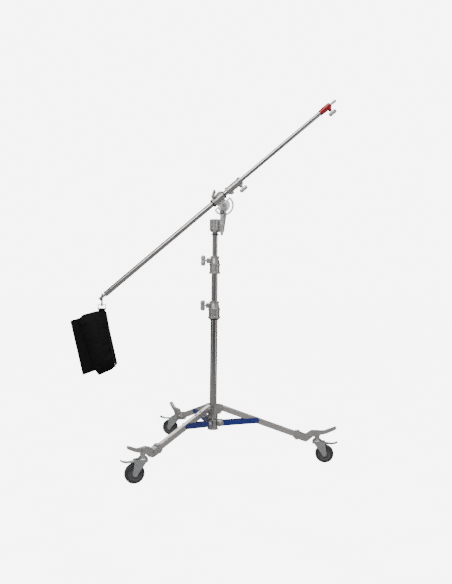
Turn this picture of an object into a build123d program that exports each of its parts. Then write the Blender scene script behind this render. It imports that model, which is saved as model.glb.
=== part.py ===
"""Convertible boom stand on casters: a folding three-leg base, a telescopic mast,
a tilting telescopic boom and a hanging saddle sandbag.

Millimetres. +Z is up. The origin is on the floor, on the mast's axis.
+X is the side that the boom's tip leans over, and -Y is the side of the tilt lever.
"""
import os
from math import atan2, cos, degrees, hypot, radians, sin, tan

from build123d import *

os.makedirs("parts", exist_ok=True)

# ---- fits -------------------------------------------------------------------
RUN = 0.05            # radial clearance of a running or sliding fit
GAP = 0.3             # side clearance between faces that move past each other

# ---- mast -------------------------------------------------------------------
COLUMN_R, RISER_1_R, RISER_2_R = 20.0, 17.5, 15.0
TUBE_WALL = 2.0
COLUMN_Z = (164.0, 838.0)
RISER_1_Z = (345.0, 1088.0)
RISER_2_Z = (505.0, 1286.0)
BUSH_LENGTH = 40.0
LOWER_COLLAR_Z = (780.0, 876.0)
UPPER_COLLAR_Z = (1029.0, 1128.0)
LOWER_KNOB_Z, UPPER_KNOB_Z = 852.0, 1103.0
RECEIVER_Z = (1264.0, 1333.0)
FLANGE_R, FLUTED_Z = 26.0, 1271.0
RECEIVER_LOBES, LOBE_R, LOBE_PITCH_R = 8, 9.5, 23.5

# ---- base linkage, in the plane of one leg (radius from the mast, height) ----
LEG_AZIMUTHS = (-6.0, 114.0, 234.0)
PIVOT_RADIUS = 45.0
LEG_HUB_Z = (222.0, 302.0)
LEG_PIVOT_Z = 283.0
LEG_SLOPE = 17.9                       # degrees below horizontal when spread
LEG_WIDTH, LEG_HEIGHT, LEG_WALL = 25.0, 30.0, 1.5
LEG_LENGTH = 484.0                     # from the pivot to the end inside the casting
LOWER_HUB_Z = (160.0, 216.0)
BRACE_PIVOT_Z = 197.0
BRACE_BOLT_RADIUS = 244.0              # where the brace meets the leg
BRACE_HEIGHT, BRACE_WALL = 30.0, 3.0
PIVOT_BOLT_R = 4.0
CHEEK = 6.0
HUB_WALL, HUB_ROOT = 5.0, 12.0
LEG_CHEEK_Z, LEG_CHEEK_R, LUG_R = 244.0, 14.0, 13.0
LEG_HEEL = 12.0                        # tube behind the pivot
CLAMP_ON_LEG, CASTING_GRIP, CLAMP_BAND = 456.0, 459.0, 446.0
LOCK_Z, LOCK_SEAT = 233.0, 38.0
WEB_SPAN = (18.0, 88.0)                # the brace channel's web, from its hub pivot

# ---- casters ----------------------------------------------------------------
STEM_RADIUS = 578.0                    # swivel axis from the mast
CASTER_HEADINGS = (-12.0, 165.0, 200.0)
WHEEL_R, WHEEL_WIDTH, TRAIL = 50.0, 30.0, 40.0
CORE_R = 35.0
AXLE_R, STEM_R = 5.0, 6.0
FORK_HEAD_Z = (103.0, 122.0)
FORK_HEAD_R = 27.0
FORK_CHEEK_Y = (18.0, 22.0)
PEDAL_PIN = (33.5, 109.0)

PEDAL_PIN_R = 2.5
RACE, STEM_LENGTH = 5.0, 36.0          # height of the upper race, length of stem above it

# ---- boom head and boom -----------------------------------------------------
BOOM_ANGLE = 40.8
BOOM_OFFSET = 45.0                     # from the tilt pivot to the boom's axis
PIVOT_X, PIVOT_Z = 45.0, 1414.0
TILT_BOLT_R = 5.0
PLATE_HALF = 4.0                       # half the quadrant plate's thickness
EAR_Y = 12.0                           # outer face of the receiver's ears
EAR_R = 17.0
QUADRANT_R, SLOT_OUTER_R, SLOT_INNER_R = 58.0, 48.0, 37.0
CLAMP_R, CLAMP_ANGLE = 42.5, -101.0     # clamp bolt about the tilt pivot
BOOM_R, INNER_R = 15.0, 12.5
SLEEVE_R, SLEEVE_HALF = 22.0, 36.0
TUBE_S = (-826.0, 132.0)               # along the boom, 0 nearest the tilt pivot
INNER_S = (-232.0, 776.0)
COLLAR_S = (65.0, 165.0)
TIP_S = (744.0, 817.0)
TIP_PIN_S = 859.0
PIN_R = 7.94
TAIL_PIN_S = -866.0
SLEEVE_KNOB_S, COLLAR_KNOB_S, TIP_KNOB_S = -6.0, 145.0, 801.0
SLEEVE_KNOB_LEAN, SLEEVE_WING_TURN = 43.0, 43.3

KNOB_SCREW_R, KNOB_SEAT = 4.0, 46.0
BOSS_REACH, TIP_BOSS_REACH = 31.0, 26.0
PLATE_TOP, PLATE_SHOULDER, SLOT_END = 27.0, 12.0, 4.0
SADDLE_HALF, SADDLE_FOOT = 27.0, 19.0
LEVER_Y, LEVER_LENGTH, LEVER_END = (16.5, 34.0), 130.0, 8.0
TIP_PIN_FOOT, PIN_GROOVE_R = 786.0, 6.5

# ---- sandbag ----------------------------------------------------------------
HOOK_S = -852.0
HOOK_WIRE_R = 3.0
HOOK_HALF_WIDTH = 12.5
HOOK_ABOVE, HOOK_BELOW = 19.5, 30.0
RING_BAR = 4.0
POUCH_DEPTH = 58.0

NECK_Z = (31.0, 38.0, 49.0)            # swivel neck, measured down from the pin
RING_Z, RING_HALF = (39.5, 71.0), 23.0
STRAP_WIDTH, STRAP_HALF, STRAP_END = 36.0, 2.5, 140.0

# ---- worked-out places ------------------------------------------------------
U = Vector(cos(radians(BOOM_ANGLE)), 0, sin(radians(BOOM_ANGLE)))
N = Vector(-sin(radians(BOOM_ANGLE)), 0, cos(radians(BOOM_ANGLE)))
TILT_PIVOT = Vector(PIVOT_X, 0, PIVOT_Z)
BOOM_ZERO = TILT_PIVOT + N * BOOM_OFFSET
CLAMP_BOLT = TILT_PIVOT + Vector(CLAMP_R * cos(radians(CLAMP_ANGLE)), 0, CLAMP_R * sin(radians(CLAMP_ANGLE)))
HOOK_PIN = BOOM_ZERO + U * HOOK_S
SLEEVE_SIDE = N * cos(radians(SLEEVE_KNOB_LEAN)) - Vector(0, sin(radians(SLEEVE_KNOB_LEAN)), 0)
SLEEVE_WING = U * cos(radians(SLEEVE_WING_TURN)) + SLEEVE_SIDE.cross(U) * sin(radians(SLEEVE_WING_TURN))
LEG_DIRECTION = Vector(cos(radians(LEG_SLOPE)), 0, -sin(radians(LEG_SLOPE)))
LEG_PIVOT = Vector(PIVOT_RADIUS, 0, LEG_PIVOT_Z)
BRACE_PIVOT = Vector(PIVOT_RADIUS, 0, BRACE_PIVOT_Z)
BRACE_BOLT = LEG_PIVOT + LEG_DIRECTION * ((BRACE_BOLT_RADIUS - PIVOT_RADIUS) / LEG_DIRECTION.X)
BRACE_LENGTH = hypot(BRACE_BOLT.X - BRACE_PIVOT.X, BRACE_BOLT.Z - BRACE_PIVOT.Z)
BRACE_SLOPE = degrees(atan2(BRACE_BOLT.Z - BRACE_PIVOT.Z, BRACE_BOLT.X - BRACE_PIVOT.X))
BRACE_INNER = LEG_WIDTH / 2 + GAP * 2
LEG_CHEEK_Y = LEG_WIDTH / 2 + GAP      # inner face of a leg hub cheek




def save(part, name):
    """Label a finished piece and write its file."""
    part.label = name
    export_step(part, f"parts/{name}.step")


def side_view(origin, x_dir=(1, 0, 0)):
    """Plane facing -Y, for side profiles and for bolts that lie along Y."""
    return Plane(origin=origin, x_dir=x_dir, z_dir=(0, -1, 0))


def along_boom(s):
    """Plane square to the boom at distance s: its x is +Y and its y is the boom's normal."""
    return Plane(origin=BOOM_ZERO + U * s, x_dir=(0, 1, 0), z_dir=U)


def out_of_boom(s, side):
    """Plane on the boom's axis that faces along its normal (side 1) or against it (-1)."""
    return Plane(origin=BOOM_ZERO + U * s, x_dir=U, z_dir=N * side)


def radial(azimuth):
    """Upright plane through the mast: its x points out at the azimuth and its y is up."""
    a = radians(azimuth)
    return Plane(origin=(0, 0, 0), x_dir=(cos(a), sin(a), 0), z_dir=(sin(a), -cos(a), 0))


BOOM_PROFILE = Plane(origin=BOOM_ZERO, x_dir=(0, 1, 0), z_dir=Vector(0, 1, 0).cross(U))


def turned(rows, plane=Plane.XZ):
    """Turned solid from (radius, height) corners, about the plane's own y axis."""
    with BuildPart() as piece:
        with BuildSketch(plane):
            with BuildLine():
                Polyline(*rows, close=True)
            make_face()
        revolve(axis=Axis(plane.origin, plane.y_dir))
    return piece.part


def pipe(start, end, outer, inner, plane=Plane.XZ):
    """Round tube between two heights of a turning plane."""
    return turned([(inner, start), (outer, start), (outer, end), (inner, end)], plane)


def bolt_across(origin, radius, half, head_r, head, flip=1):
    """Bolt along Y with a hexagon head at one end and a nut at the other."""
    with BuildPart() as bolt:
        with BuildSketch(side_view(origin)):
            Circle(radius)
        extrude(amount=half + head * 0.5, both=True)
        for side in (flip, -flip):
            with BuildSketch(side_view(origin).offset(side * half)):
                RegularPolygon(head_r, 6)
            extrude(amount=side * head)
    return bolt.part


def t_knob(seat, axis, wing, screw, wing_length=60.0, reach=32.0):
    """T-handled clamp screw. seat is where the handle's shank starts, axis points out of
    the clamp, wing is the handle's long direction and screw is the length past the seat."""
    axis, wing = Vector(axis), Vector(wing)
    face = Plane(origin=seat, x_dir=wing, z_dir=axis)
    side = Plane(origin=seat, x_dir=wing, z_dir=wing.cross(axis))
    root, wing_low = reach * 0.25, reach * 0.62
    half = wing_length / 2
    with BuildPart() as knob:
        with BuildSketch(face.offset(-screw)):
            Circle(KNOB_SCREW_R)
        extrude(amount=screw)
        with BuildSketch(face):
            Circle(8.5)
        extrude(amount=reach * 0.45)
        with BuildSketch(side):
            with BuildLine():
                Polyline(
                    (-9, root), (9, root), (half, wing_low), (half, reach),
                    (-half, reach), (-half, wing_low), close=True,
                )
            make_face()
            fillet(vertices(), 4)
        extrude(amount=5, both=True)
    return knob.part


# =============================================================================
# Mast: column, two risers and their collars
# =============================================================================
def collar(bottom, top, grip_r, neck_r, knob_z, bulk):
    """Stepped die-cast collar: grips the lower tube and guides the upper one."""
    middle = (bottom + top) / 2
    neck = grip_r + 5
    step = top - 38
    rows = [
        (neck_r + RUN, bottom), (bulk, bottom), (bulk, bottom + 9), (bulk - 4, bottom + 12),
        (bulk - 4, middle - 5), (bulk - 1, middle - 2), (bulk - 1, middle + 5), (bulk - 5, middle + 9),
        (neck, top - 12), (neck + 2.5, top - 8), (neck + 2.5, top), (neck_r + RUN, top),
    ]
    with BuildPart() as piece:
        with BuildSketch(Plane.XZ):
            with BuildLine():
                Polyline(*rows, close=True)
            make_face()
        revolve(axis=Axis.Z)
        with BuildSketch(Plane.YZ.offset(-KNOB_SEAT)):
            with Locations((0, knob_z)):
                RectangleRounded(24, 30, 7)
        extrude(amount=KNOB_SEAT - neck_r - 3)
        with BuildSketch(Plane.YZ.offset(-KNOB_SEAT - 1)):
            with Locations((0, knob_z)):
                Circle(KNOB_SCREW_R + RUN)
        extrude(amount=KNOB_SEAT - neck_r + 2, mode=Mode.SUBTRACT)
        with BuildSketch(Plane.XY.offset(bottom)):
            Circle(grip_r)
        extrude(amount=step - bottom, mode=Mode.SUBTRACT)
    return piece.part


def riser_bush(bottom, riser_r, bore_r):
    """Slip bush on a riser's foot: a running fit in the tube below."""
    inside = riser_r - TUBE_WALL
    return turned([
        (inside - 2, bottom - 6), (bore_r - RUN, bottom - 6), (bore_r - RUN, bottom),
        (inside - RUN, bottom), (inside - RUN, bottom + BUSH_LENGTH), (inside - 2, bottom + BUSH_LENGTH),
    ])


save(pipe(*COLUMN_Z, COLUMN_R, COLUMN_R - TUBE_WALL), "column_tube")
save(pipe(*RISER_1_Z, RISER_1_R, RISER_1_R - TUBE_WALL), "riser_1_tube")
save(pipe(*RISER_2_Z, RISER_2_R, RISER_2_R - TUBE_WALL), "riser_2_tube")
save(riser_bush(RISER_1_Z[0], RISER_1_R, COLUMN_R - TUBE_WALL), "riser_1_bush")
save(riser_bush(RISER_2_Z[0], RISER_2_R, RISER_1_R - TUBE_WALL), "riser_2_bush")
save(collar(*LOWER_COLLAR_Z, COLUMN_R, RISER_1_R, LOWER_KNOB_Z, 35.0), "lower_collar")
save(collar(*UPPER_COLLAR_Z, RISER_1_R, RISER_2_R, UPPER_KNOB_Z, 32.0), "upper_collar")
save(pipe(LOWER_COLLAR_Z[0] - 8, LOWER_COLLAR_Z[0], 27.5, COLUMN_R), "lower_collar_ring")
save(pipe(RECEIVER_Z[0] - 17, RECEIVER_Z[0] - 11, 21.5, RISER_2_R), "receiver_ring")
for knob_name, knob_z, clamped_r in (
    ("lower_collar_knob", LOWER_KNOB_Z, RISER_1_R),
    ("upper_collar_knob", UPPER_KNOB_Z, RISER_2_R),
):
    screw_length = KNOB_SEAT + GAP - clamped_r - GAP
    save(t_knob((-KNOB_SEAT - GAP, 0, knob_z), (-1, 0, 0), (0, 0, 1), screw_length), knob_name)

# =============================================================================
# Receiver: fluted mast cap with the boom head's two ears, cast in one piece
# =============================================================================
with BuildPart() as receiver:
    with BuildSketch(Plane.XY.offset(FLUTED_Z)):
        Circle(LOBE_PITCH_R + 4)
        with PolarLocations(LOBE_PITCH_R, RECEIVER_LOBES, start_angle=180 / RECEIVER_LOBES):
            Circle(LOBE_R)
    extrude(amount=RECEIVER_Z[1] - FLUTED_Z)
    with BuildSketch(Plane.XY.offset(RECEIVER_Z[0])):
        Circle(FLANGE_R)
    extrude(amount=FLUTED_Z - RECEIVER_Z[0])
    with BuildSketch(Plane.XZ):
        with BuildLine():
            Polyline(
                (22, RECEIVER_Z[0]), (50, RECEIVER_Z[0]), (PIVOT_X + EAR_R, PIVOT_Z - 62),
                (PIVOT_X + EAR_R, PIVOT_Z), (PIVOT_X - EAR_R, PIVOT_Z),
                (31, RECEIVER_Z[1]), (22, RECEIVER_Z[1]), close=True,
            )
        make_face()
        with Locations((PIVOT_X, PIVOT_Z)):
            Circle(EAR_R)
    extrude(amount=EAR_Y, both=True)
    ear_gap = QUADRANT_R + 3
    with BuildSketch(Plane.XZ):
        with Locations((PIVOT_X, PIVOT_Z)):
            Circle(ear_gap)
    extrude(amount=PLATE_HALF + GAP, both=True, mode=Mode.SUBTRACT)
    with BuildSketch(Plane.XY.offset(RECEIVER_Z[0])):
        Circle(RISER_2_R)
    extrude(amount=RISER_2_Z[1] - RECEIVER_Z[0], mode=Mode.SUBTRACT)
    for bolt in (TILT_PIVOT, CLAMP_BOLT):
        with BuildSketch(side_view(bolt)):
            Circle(TILT_BOLT_R)
        extrude(amount=EAR_Y, both=True, mode=Mode.SUBTRACT)
save(receiver.part, "receiver")

with BuildPart() as tilt_bolts:
    add(bolt_across(TILT_PIVOT, TILT_BOLT_R, EAR_Y, 8, 5))
    with BuildSketch(side_view(CLAMP_BOLT).offset(-EAR_Y - 7)):
        RegularPolygon(9, 6)
    extrude(amount=7)
    with BuildSketch(side_view(CLAMP_BOLT).offset(-EAR_Y)):
        Circle(TILT_BOLT_R)
    extrude(amount=EAR_Y + LEVER_Y[1] + GAP)
    with BuildSketch(side_view(CLAMP_BOLT).offset(EAR_Y)):
        Circle(11)
    extrude(amount=LEVER_Y[0] - GAP - EAR_Y)
    with BuildSketch(side_view(CLAMP_BOLT).offset(LEVER_Y[1] + GAP)):
        RegularPolygon(7.5, 6)
    extrude(amount=5)
save(tilt_bolts.part, "tilt_bolts")

with BuildPart() as tilt_lever:
    with BuildSketch(side_view(CLAMP_BOLT).offset(LEVER_Y[0] + 3)):
        with BuildLine():
            Polyline(
                (-9, 0), (9, 0), (11.5, -LEVER_LENGTH * 0.4), (8, LEVER_END - LEVER_LENGTH),
                (-8, LEVER_END - LEVER_LENGTH), (-11.5, -LEVER_LENGTH * 0.4), close=True,
            )
        make_face()
        with Locations((0, LEVER_END - LEVER_LENGTH)):
            Circle(LEVER_END)
    extrude(amount=11)
    fillet(tilt_lever.edges(), 2.5)
    with BuildSketch(side_view(CLAMP_BOLT).offset(LEVER_Y[0])):
        Circle(12.5)
    extrude(amount=LEVER_Y[1] - LEVER_Y[0])
    with BuildSketch(side_view(CLAMP_BOLT).offset(LEVER_Y[0])):
        Circle(TILT_BOLT_R + RUN)
    extrude(amount=LEVER_Y[1] - LEVER_Y[0], mode=Mode.SUBTRACT)
save(tilt_lever.part, "tilt_lever")

# =============================================================================
# Boom head: quadrant plate, sleeve and its end rings
# =============================================================================
SIDE_OF_BOOM = side_view(TILT_PIVOT, U)
with BuildPart() as quadrant_plate:
    with BuildSketch(SIDE_OF_BOOM):
        Circle(QUADRANT_R)
        with Locations((0, PLATE_SHOULDER - QUADRANT_R)):
            Rectangle(3 * QUADRANT_R, 2 * QUADRANT_R, mode=Mode.INTERSECT)
        with Locations((0, PLATE_TOP / 2)):
            Rectangle(2 * SADDLE_HALF, PLATE_TOP)
        Circle(TILT_BOLT_R + RUN, mode=Mode.SUBTRACT)
    extrude(amount=PLATE_HALF, both=True)
    with BuildSketch(SIDE_OF_BOOM):
        Circle(SLOT_OUTER_R)
        Circle(SLOT_INNER_R, mode=Mode.SUBTRACT)
        with Locations((0, SLOT_END - QUADRANT_R)):
            Rectangle(3 * QUADRANT_R, 2 * QUADRANT_R, mode=Mode.INTERSECT)
    extrude(amount=PLATE_HALF, both=True, mode=Mode.SUBTRACT)
save(quadrant_plate.part, "quadrant_plate")

sleeve_boss = Plane(origin=BOOM_ZERO + U * SLEEVE_KNOB_S, x_dir=U, z_dir=SLEEVE_SIDE)
with BuildPart() as boom_sleeve:
    with BuildSketch(along_boom(-SLEEVE_HALF)):
        Circle(SLEEVE_R)
    extrude(amount=2 * SLEEVE_HALF)
    with BuildSketch(SIDE_OF_BOOM):
        with Locations((0, (SADDLE_FOOT + BOOM_OFFSET) / 2)):
            Rectangle(2 * SADDLE_HALF, BOOM_OFFSET - SADDLE_FOOT)
    extrude(amount=PLATE_HALF + 6, both=True)
    with BuildSketch(SIDE_OF_BOOM):
        with Locations((SLEEVE_HALF / 2 + 2, BOOM_OFFSET + SLEEVE_R)):
            RectangleRounded(28, 16, 6)
    extrude(amount=9, both=True)
    with BuildSketch(sleeve_boss):
        Circle(11)
    extrude(amount=BOSS_REACH)
    with BuildSketch(sleeve_boss):
        Circle(KNOB_SCREW_R + RUN)
    extrude(amount=BOSS_REACH, mode=Mode.SUBTRACT)
    with BuildSketch(SIDE_OF_BOOM):
        with Locations((0, PLATE_TOP / 2)):
            Rectangle(2 * SADDLE_HALF, PLATE_TOP)
    extrude(amount=PLATE_HALF, both=True, mode=Mode.SUBTRACT)
    with BuildSketch(along_boom(-SLEEVE_HALF)):
        Circle(BOOM_R + RUN)
    extrude(amount=2 * SLEEVE_HALF, mode=Mode.SUBTRACT)
save(boom_sleeve.part, "boom_sleeve")

with BuildPart() as sleeve_rings:
    for ring_start in (-SLEEVE_HALF - 7, SLEEVE_HALF):
        add(pipe(ring_start, ring_start + 7, SLEEVE_R + 1.5, BOOM_R + GAP, BOOM_PROFILE))
save(sleeve_rings.part, "sleeve_rings")
screw_length = BOSS_REACH + GAP - BOOM_R - GAP
sleeve_seat = sleeve_boss.origin + SLEEVE_SIDE * (BOSS_REACH + GAP)
save(t_knob(sleeve_seat, SLEEVE_SIDE, SLEEVE_WING, screw_length, reach=28), "sleeve_knob")

# =============================================================================
# Boom: outer tube, telescopic collar, inner tube, tip socket and pins
# =============================================================================
save(pipe(*TUBE_S, BOOM_R, BOOM_R - TUBE_WALL, BOOM_PROFILE), "boom_tube")
save(pipe(*INNER_S, INNER_R, INNER_R - TUBE_WALL, BOOM_PROFILE), "boom_inner_tube")
save(turned([
    (0, TAIL_PIN_S - 4), (10.5, TAIL_PIN_S - 4), (10.5, TAIL_PIN_S), (PIN_R, TAIL_PIN_S),
    (PIN_R, TUBE_S[0] - 3), (BOOM_R, TUBE_S[0] - 3), (BOOM_R, TUBE_S[0]),
    (BOOM_R - TUBE_WALL, TUBE_S[0]), (BOOM_R - TUBE_WALL, TUBE_S[0] + 14), (0, TUBE_S[0] + 14),
], BOOM_PROFILE), "tail_pin")

with BuildPart() as boom_collar:
    add(turned([
        (INNER_R + RUN, COLLAR_S[0]), (24, COLLAR_S[0]), (24, COLLAR_S[0] + 7), (20, COLLAR_S[0] + 9),
        (20, COLLAR_S[1] - 17), (23, COLLAR_S[1] - 15), (23, COLLAR_S[1]), (INNER_R + RUN, COLLAR_S[1]),
    ], BOOM_PROFILE))
    with BuildSketch(side_view(BOOM_ZERO, U)):
        with Locations((COLLAR_S[0] + 18, -24)):
            RectangleRounded(20, 14, 4)
    extrude(amount=9, both=True)
    with BuildSketch(out_of_boom(COLLAR_KNOB_S, -1)):
        Circle(11)
    extrude(amount=BOSS_REACH)
    with BuildSketch(out_of_boom(COLLAR_KNOB_S, -1)):
        Circle(KNOB_SCREW_R + RUN)
    extrude(amount=BOSS_REACH, mode=Mode.SUBTRACT)
    with BuildSketch(along_boom(COLLAR_S[0])):
        Circle(BOOM_R)
    extrude(amount=TUBE_S[1] - COLLAR_S[0], mode=Mode.SUBTRACT)
    with BuildSketch(along_boom(COLLAR_S[0])):
        Circle(INNER_R + RUN)
    extrude(amount=COLLAR_S[1] - COLLAR_S[0], mode=Mode.SUBTRACT)
save(boom_collar.part, "boom_collar")

with BuildPart() as tip_socket:
    start, end = TIP_S
    add(turned([
        (0, start), (14.5, start), (15.5, start + 3), (15.5, start + 20), (17, start + 24),
        (17, end - 3), (15.5, end), (0, end),
    ], BOOM_PROFILE))
    with BuildSketch(out_of_boom(TIP_KNOB_S, -1)):
        Circle(10)
    extrude(amount=TIP_BOSS_REACH)
    with BuildSketch(out_of_boom(TIP_KNOB_S, -1)):
        Circle(KNOB_SCREW_R + RUN)
    extrude(amount=TIP_BOSS_REACH, mode=Mode.SUBTRACT)
    with BuildSketch(along_boom(start)):
        Circle(INNER_R)
    extrude(amount=INNER_S[1] - start, mode=Mode.SUBTRACT)
    with BuildSketch(along_boom(TIP_PIN_FOOT)):
        Circle(PIN_R)
    extrude(amount=end - TIP_PIN_FOOT, mode=Mode.SUBTRACT)
save(tip_socket.part, "tip_socket")
save(turned([
    (0, TIP_PIN_FOOT), (PIN_R, TIP_PIN_FOOT), (PIN_R, TIP_S[1] + 8), (PIN_GROOVE_R, TIP_S[1] + 9),
    (PIN_GROOVE_R, TIP_S[1] + 15), (PIN_R, TIP_S[1] + 16), (PIN_R, TIP_PIN_S - 1),
    (PIN_R - 1, TIP_PIN_S), (0, TIP_PIN_S),
], BOOM_PROFILE), "tip_pin")
for knob_name, knob_s, clamped_r, boss in (
    ("boom_collar_knob", COLLAR_KNOB_S, INNER_R, BOSS_REACH),
    ("tip_knob", TIP_KNOB_S, PIN_R, TIP_BOSS_REACH),
):
    seat = BOOM_ZERO + U * knob_s - N * (boss + GAP)
    save(t_knob(seat, -N, U, boss - clamped_r, wing_length=50, reach=28), knob_name)

# =============================================================================
# Leg hub, lower hub and their pivot bolts
# =============================================================================
with BuildPart() as leg_hub:
    with BuildSketch(Plane.XY.offset(LEG_HUB_Z[0])):
        Circle(COLUMN_R + HUB_WALL + 3)
    extrude(amount=LEG_CHEEK_Z - LEG_HUB_Z[0])
    with BuildSketch(Plane.XY.offset(LEG_CHEEK_Z)):
        Circle(COLUMN_R + HUB_WALL)
    extrude(amount=LEG_HUB_Z[1] - LEG_CHEEK_Z)
    for azimuth in LEG_AZIMUTHS:
        for side in (1, -1):
            with BuildSketch(radial(azimuth).offset(side * LEG_CHEEK_Y)):
                with BuildLine():
                    Polyline(
                        (HUB_ROOT, LEG_CHEEK_Z), (PIVOT_RADIUS, LEG_CHEEK_Z + 8),
                        (PIVOT_RADIUS + LEG_CHEEK_R, LEG_PIVOT_Z - 6), (PIVOT_RADIUS + 6, LEG_HUB_Z[1] - 4),
                        (HUB_ROOT, LEG_HUB_Z[1]), close=True,
                    )
                make_face()
            extrude(amount=side * CHEEK)
        with BuildSketch(radial(azimuth)):
            with Locations((PIVOT_RADIUS, LEG_PIVOT_Z)):
                Circle(PIVOT_BOLT_R)
        extrude(amount=2 * LEG_WIDTH, both=True, mode=Mode.SUBTRACT)
    with BuildSketch(Plane.XY.offset(LEG_HUB_Z[0])):
        Circle(COLUMN_R + RUN)
    extrude(amount=LEG_HUB_Z[1] - LEG_HUB_Z[0], mode=Mode.SUBTRACT)
    with BuildSketch(Plane.YZ.offset(-LOCK_SEAT)):
        with Locations((0, LOCK_Z)):
            Circle(9)
    extrude(amount=LOCK_SEAT - COLUMN_R - 3)
    with BuildSketch(Plane.YZ.offset(-LOCK_SEAT)):
        with Locations((0, LOCK_Z)):
            Circle(KNOB_SCREW_R + RUN)
    extrude(amount=LOCK_SEAT - COLUMN_R + 1, mode=Mode.SUBTRACT)
save(leg_hub.part, "leg_hub")
save(t_knob(
    (-LOCK_SEAT - GAP, 0, LOCK_Z), (-1, 0, 0), (0, 1, 0), LOCK_SEAT - COLUMN_R, wing_length=44, reach=30,
), "hub_lock_screw")

with BuildPart() as lower_hub:
    with BuildSketch(Plane.XY.offset(LOWER_HUB_Z[0])):
        Circle(COLUMN_R + HUB_WALL + 1)
    extrude(amount=LOWER_HUB_Z[1] - LOWER_HUB_Z[0])
    for azimuth in LEG_AZIMUTHS:
        with BuildSketch(radial(azimuth)):
            with Locations(((HUB_ROOT + PIVOT_RADIUS) / 2, BRACE_PIVOT_Z)):
                Rectangle(PIVOT_RADIUS - HUB_ROOT, 2 * LUG_R)
            with Locations((PIVOT_RADIUS, BRACE_PIVOT_Z)):
                Circle(LUG_R)
                Circle(PIVOT_BOLT_R, mode=Mode.SUBTRACT)
        extrude(amount=BRACE_INNER - GAP, both=True)
    with BuildSketch(Plane.XY.offset(COLUMN_Z[0])):
        Circle(COLUMN_R)
    extrude(amount=LOWER_HUB_Z[1] - COLUMN_Z[0], mode=Mode.SUBTRACT)
save(lower_hub.part, "lower_hub")

leg_bolt = bolt_across(LEG_PIVOT, PIVOT_BOLT_R, LEG_CHEEK_Y + CHEEK, 7, 5)
brace_bolt = bolt_across(BRACE_PIVOT, PIVOT_BOLT_R, BRACE_INNER + BRACE_WALL + GAP, 7, 4)
for group, bolt in (("leg_pivot_bolts", leg_bolt), ("brace_pivot_bolts", brace_bolt)):
    with BuildPart() as bolts:
        for azimuth in LEG_AZIMUTHS:
            add(bolt.rotate(Axis.Z, azimuth))
    save(bolts.part, group)

# =============================================================================
# Legs and braces, made in the radial plane and turned to each azimuth
# =============================================================================
LEG_SIDE = side_view(LEG_PIVOT, LEG_DIRECTION)
LEG_TOP = Plane(origin=LEG_PIVOT, x_dir=LEG_DIRECTION, z_dir=LEG_SIDE.y_dir)
BOLT_ON_LEG = (BRACE_BOLT - LEG_PIVOT).length

with BuildPart() as leg_tube:
    with BuildSketch(LEG_SIDE):
        with Locations(((LEG_LENGTH - LEG_HEEL) / 2, 0)):
            Rectangle(LEG_LENGTH + LEG_HEEL, LEG_HEIGHT)
    extrude(amount=LEG_WIDTH / 2, both=True)
    fillet(leg_tube.edges().filter_by(lambda e: abs(e.length - LEG_LENGTH - LEG_HEEL) < 0.1), 2)
    with BuildSketch(LEG_SIDE):
        with Locations(((LEG_LENGTH - LEG_HEEL) / 2, 0)):
            Rectangle(LEG_LENGTH + LEG_HEEL, LEG_HEIGHT - 2 * LEG_WALL)
    extrude(amount=LEG_WIDTH / 2 - LEG_WALL, both=True, mode=Mode.SUBTRACT)
    for place, hole_r in ((0, PIVOT_BOLT_R + RUN), (BOLT_ON_LEG, 4.5), (CLAMP_ON_LEG, PIVOT_BOLT_R)):
        with BuildSketch(LEG_SIDE):
            with Locations((place, 0)):
                Circle(hole_r)
        extrude(amount=LEG_WIDTH, both=True, mode=Mode.SUBTRACT)
    with BuildSketch(LEG_TOP.offset(LEG_HEIGHT / 2 - LEG_WALL - 1)):
        with Locations((70, 0), (112, 0)):
            SlotOverall(24, 8)
    extrude(amount=LEG_WALL + 2, mode=Mode.SUBTRACT)

with BuildPart() as leg_casting:
    with BuildSketch(Plane.XZ):
        with BuildLine():
            Polyline(
                (500, 126), (507, 112), (521, 112), (554, 140), (594, 147), (594, 173), (546, 173),
                (514, 152), close=True,
            )
        make_face()
        fillet(vertices().group_by(Axis.X)[1:-1], 3)
    extrude(amount=13, both=True)
    with BuildSketch(Plane.XZ):
        with BuildLine():
            Polyline((586, 148), (628, 158), (676, 181), (683, 190), (678, 199), (618, 175), (586, 172), close=True)
        make_face()
        fillet(vertices().group_by(Axis.X)[1:], 3)
    extrude(amount=9, both=True)
    with BuildSketch(LEG_SIDE):
        with Locations((CASTING_GRIP, 0)):
            Rectangle(62, LEG_HEIGHT + 8)
    extrude(amount=LEG_WIDTH / 2 + 4, both=True)
    with BuildSketch(LEG_SIDE):
        with Locations((CLAMP_BAND, 0)):
            RectangleRounded(18, LEG_HEIGHT + 18, 3)
    extrude(amount=LEG_WIDTH / 2 + 3, both=True)
    with BuildSketch(Plane.XY.offset(FORK_HEAD_Z[1] + RACE)):
        with Locations((STEM_RADIUS, 0)):
            Circle(14)
    extrude(amount=30)
    with BuildSketch(LEG_SIDE):
        with Locations((LEG_LENGTH - 60, 0)):
            Rectangle(120, LEG_HEIGHT)
    extrude(amount=LEG_WIDTH / 2, both=True, mode=Mode.SUBTRACT)
    with BuildSketch(LEG_SIDE):
        with Locations((CLAMP_ON_LEG, 0)):
            Circle(PIVOT_BOLT_R)
    extrude(amount=LEG_WIDTH, both=True, mode=Mode.SUBTRACT)
    with BuildSketch(Plane.XY.offset(FORK_HEAD_Z[1] + RACE)):
        with Locations((STEM_RADIUS, 0)):
            Circle(STEM_R)
    extrude(amount=STEM_LENGTH, mode=Mode.SUBTRACT)

clamp_bolt = bolt_across(LEG_PIVOT + LEG_DIRECTION * CLAMP_ON_LEG, PIVOT_BOLT_R, LEG_WIDTH / 2 + 4, 7, 5)

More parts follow.
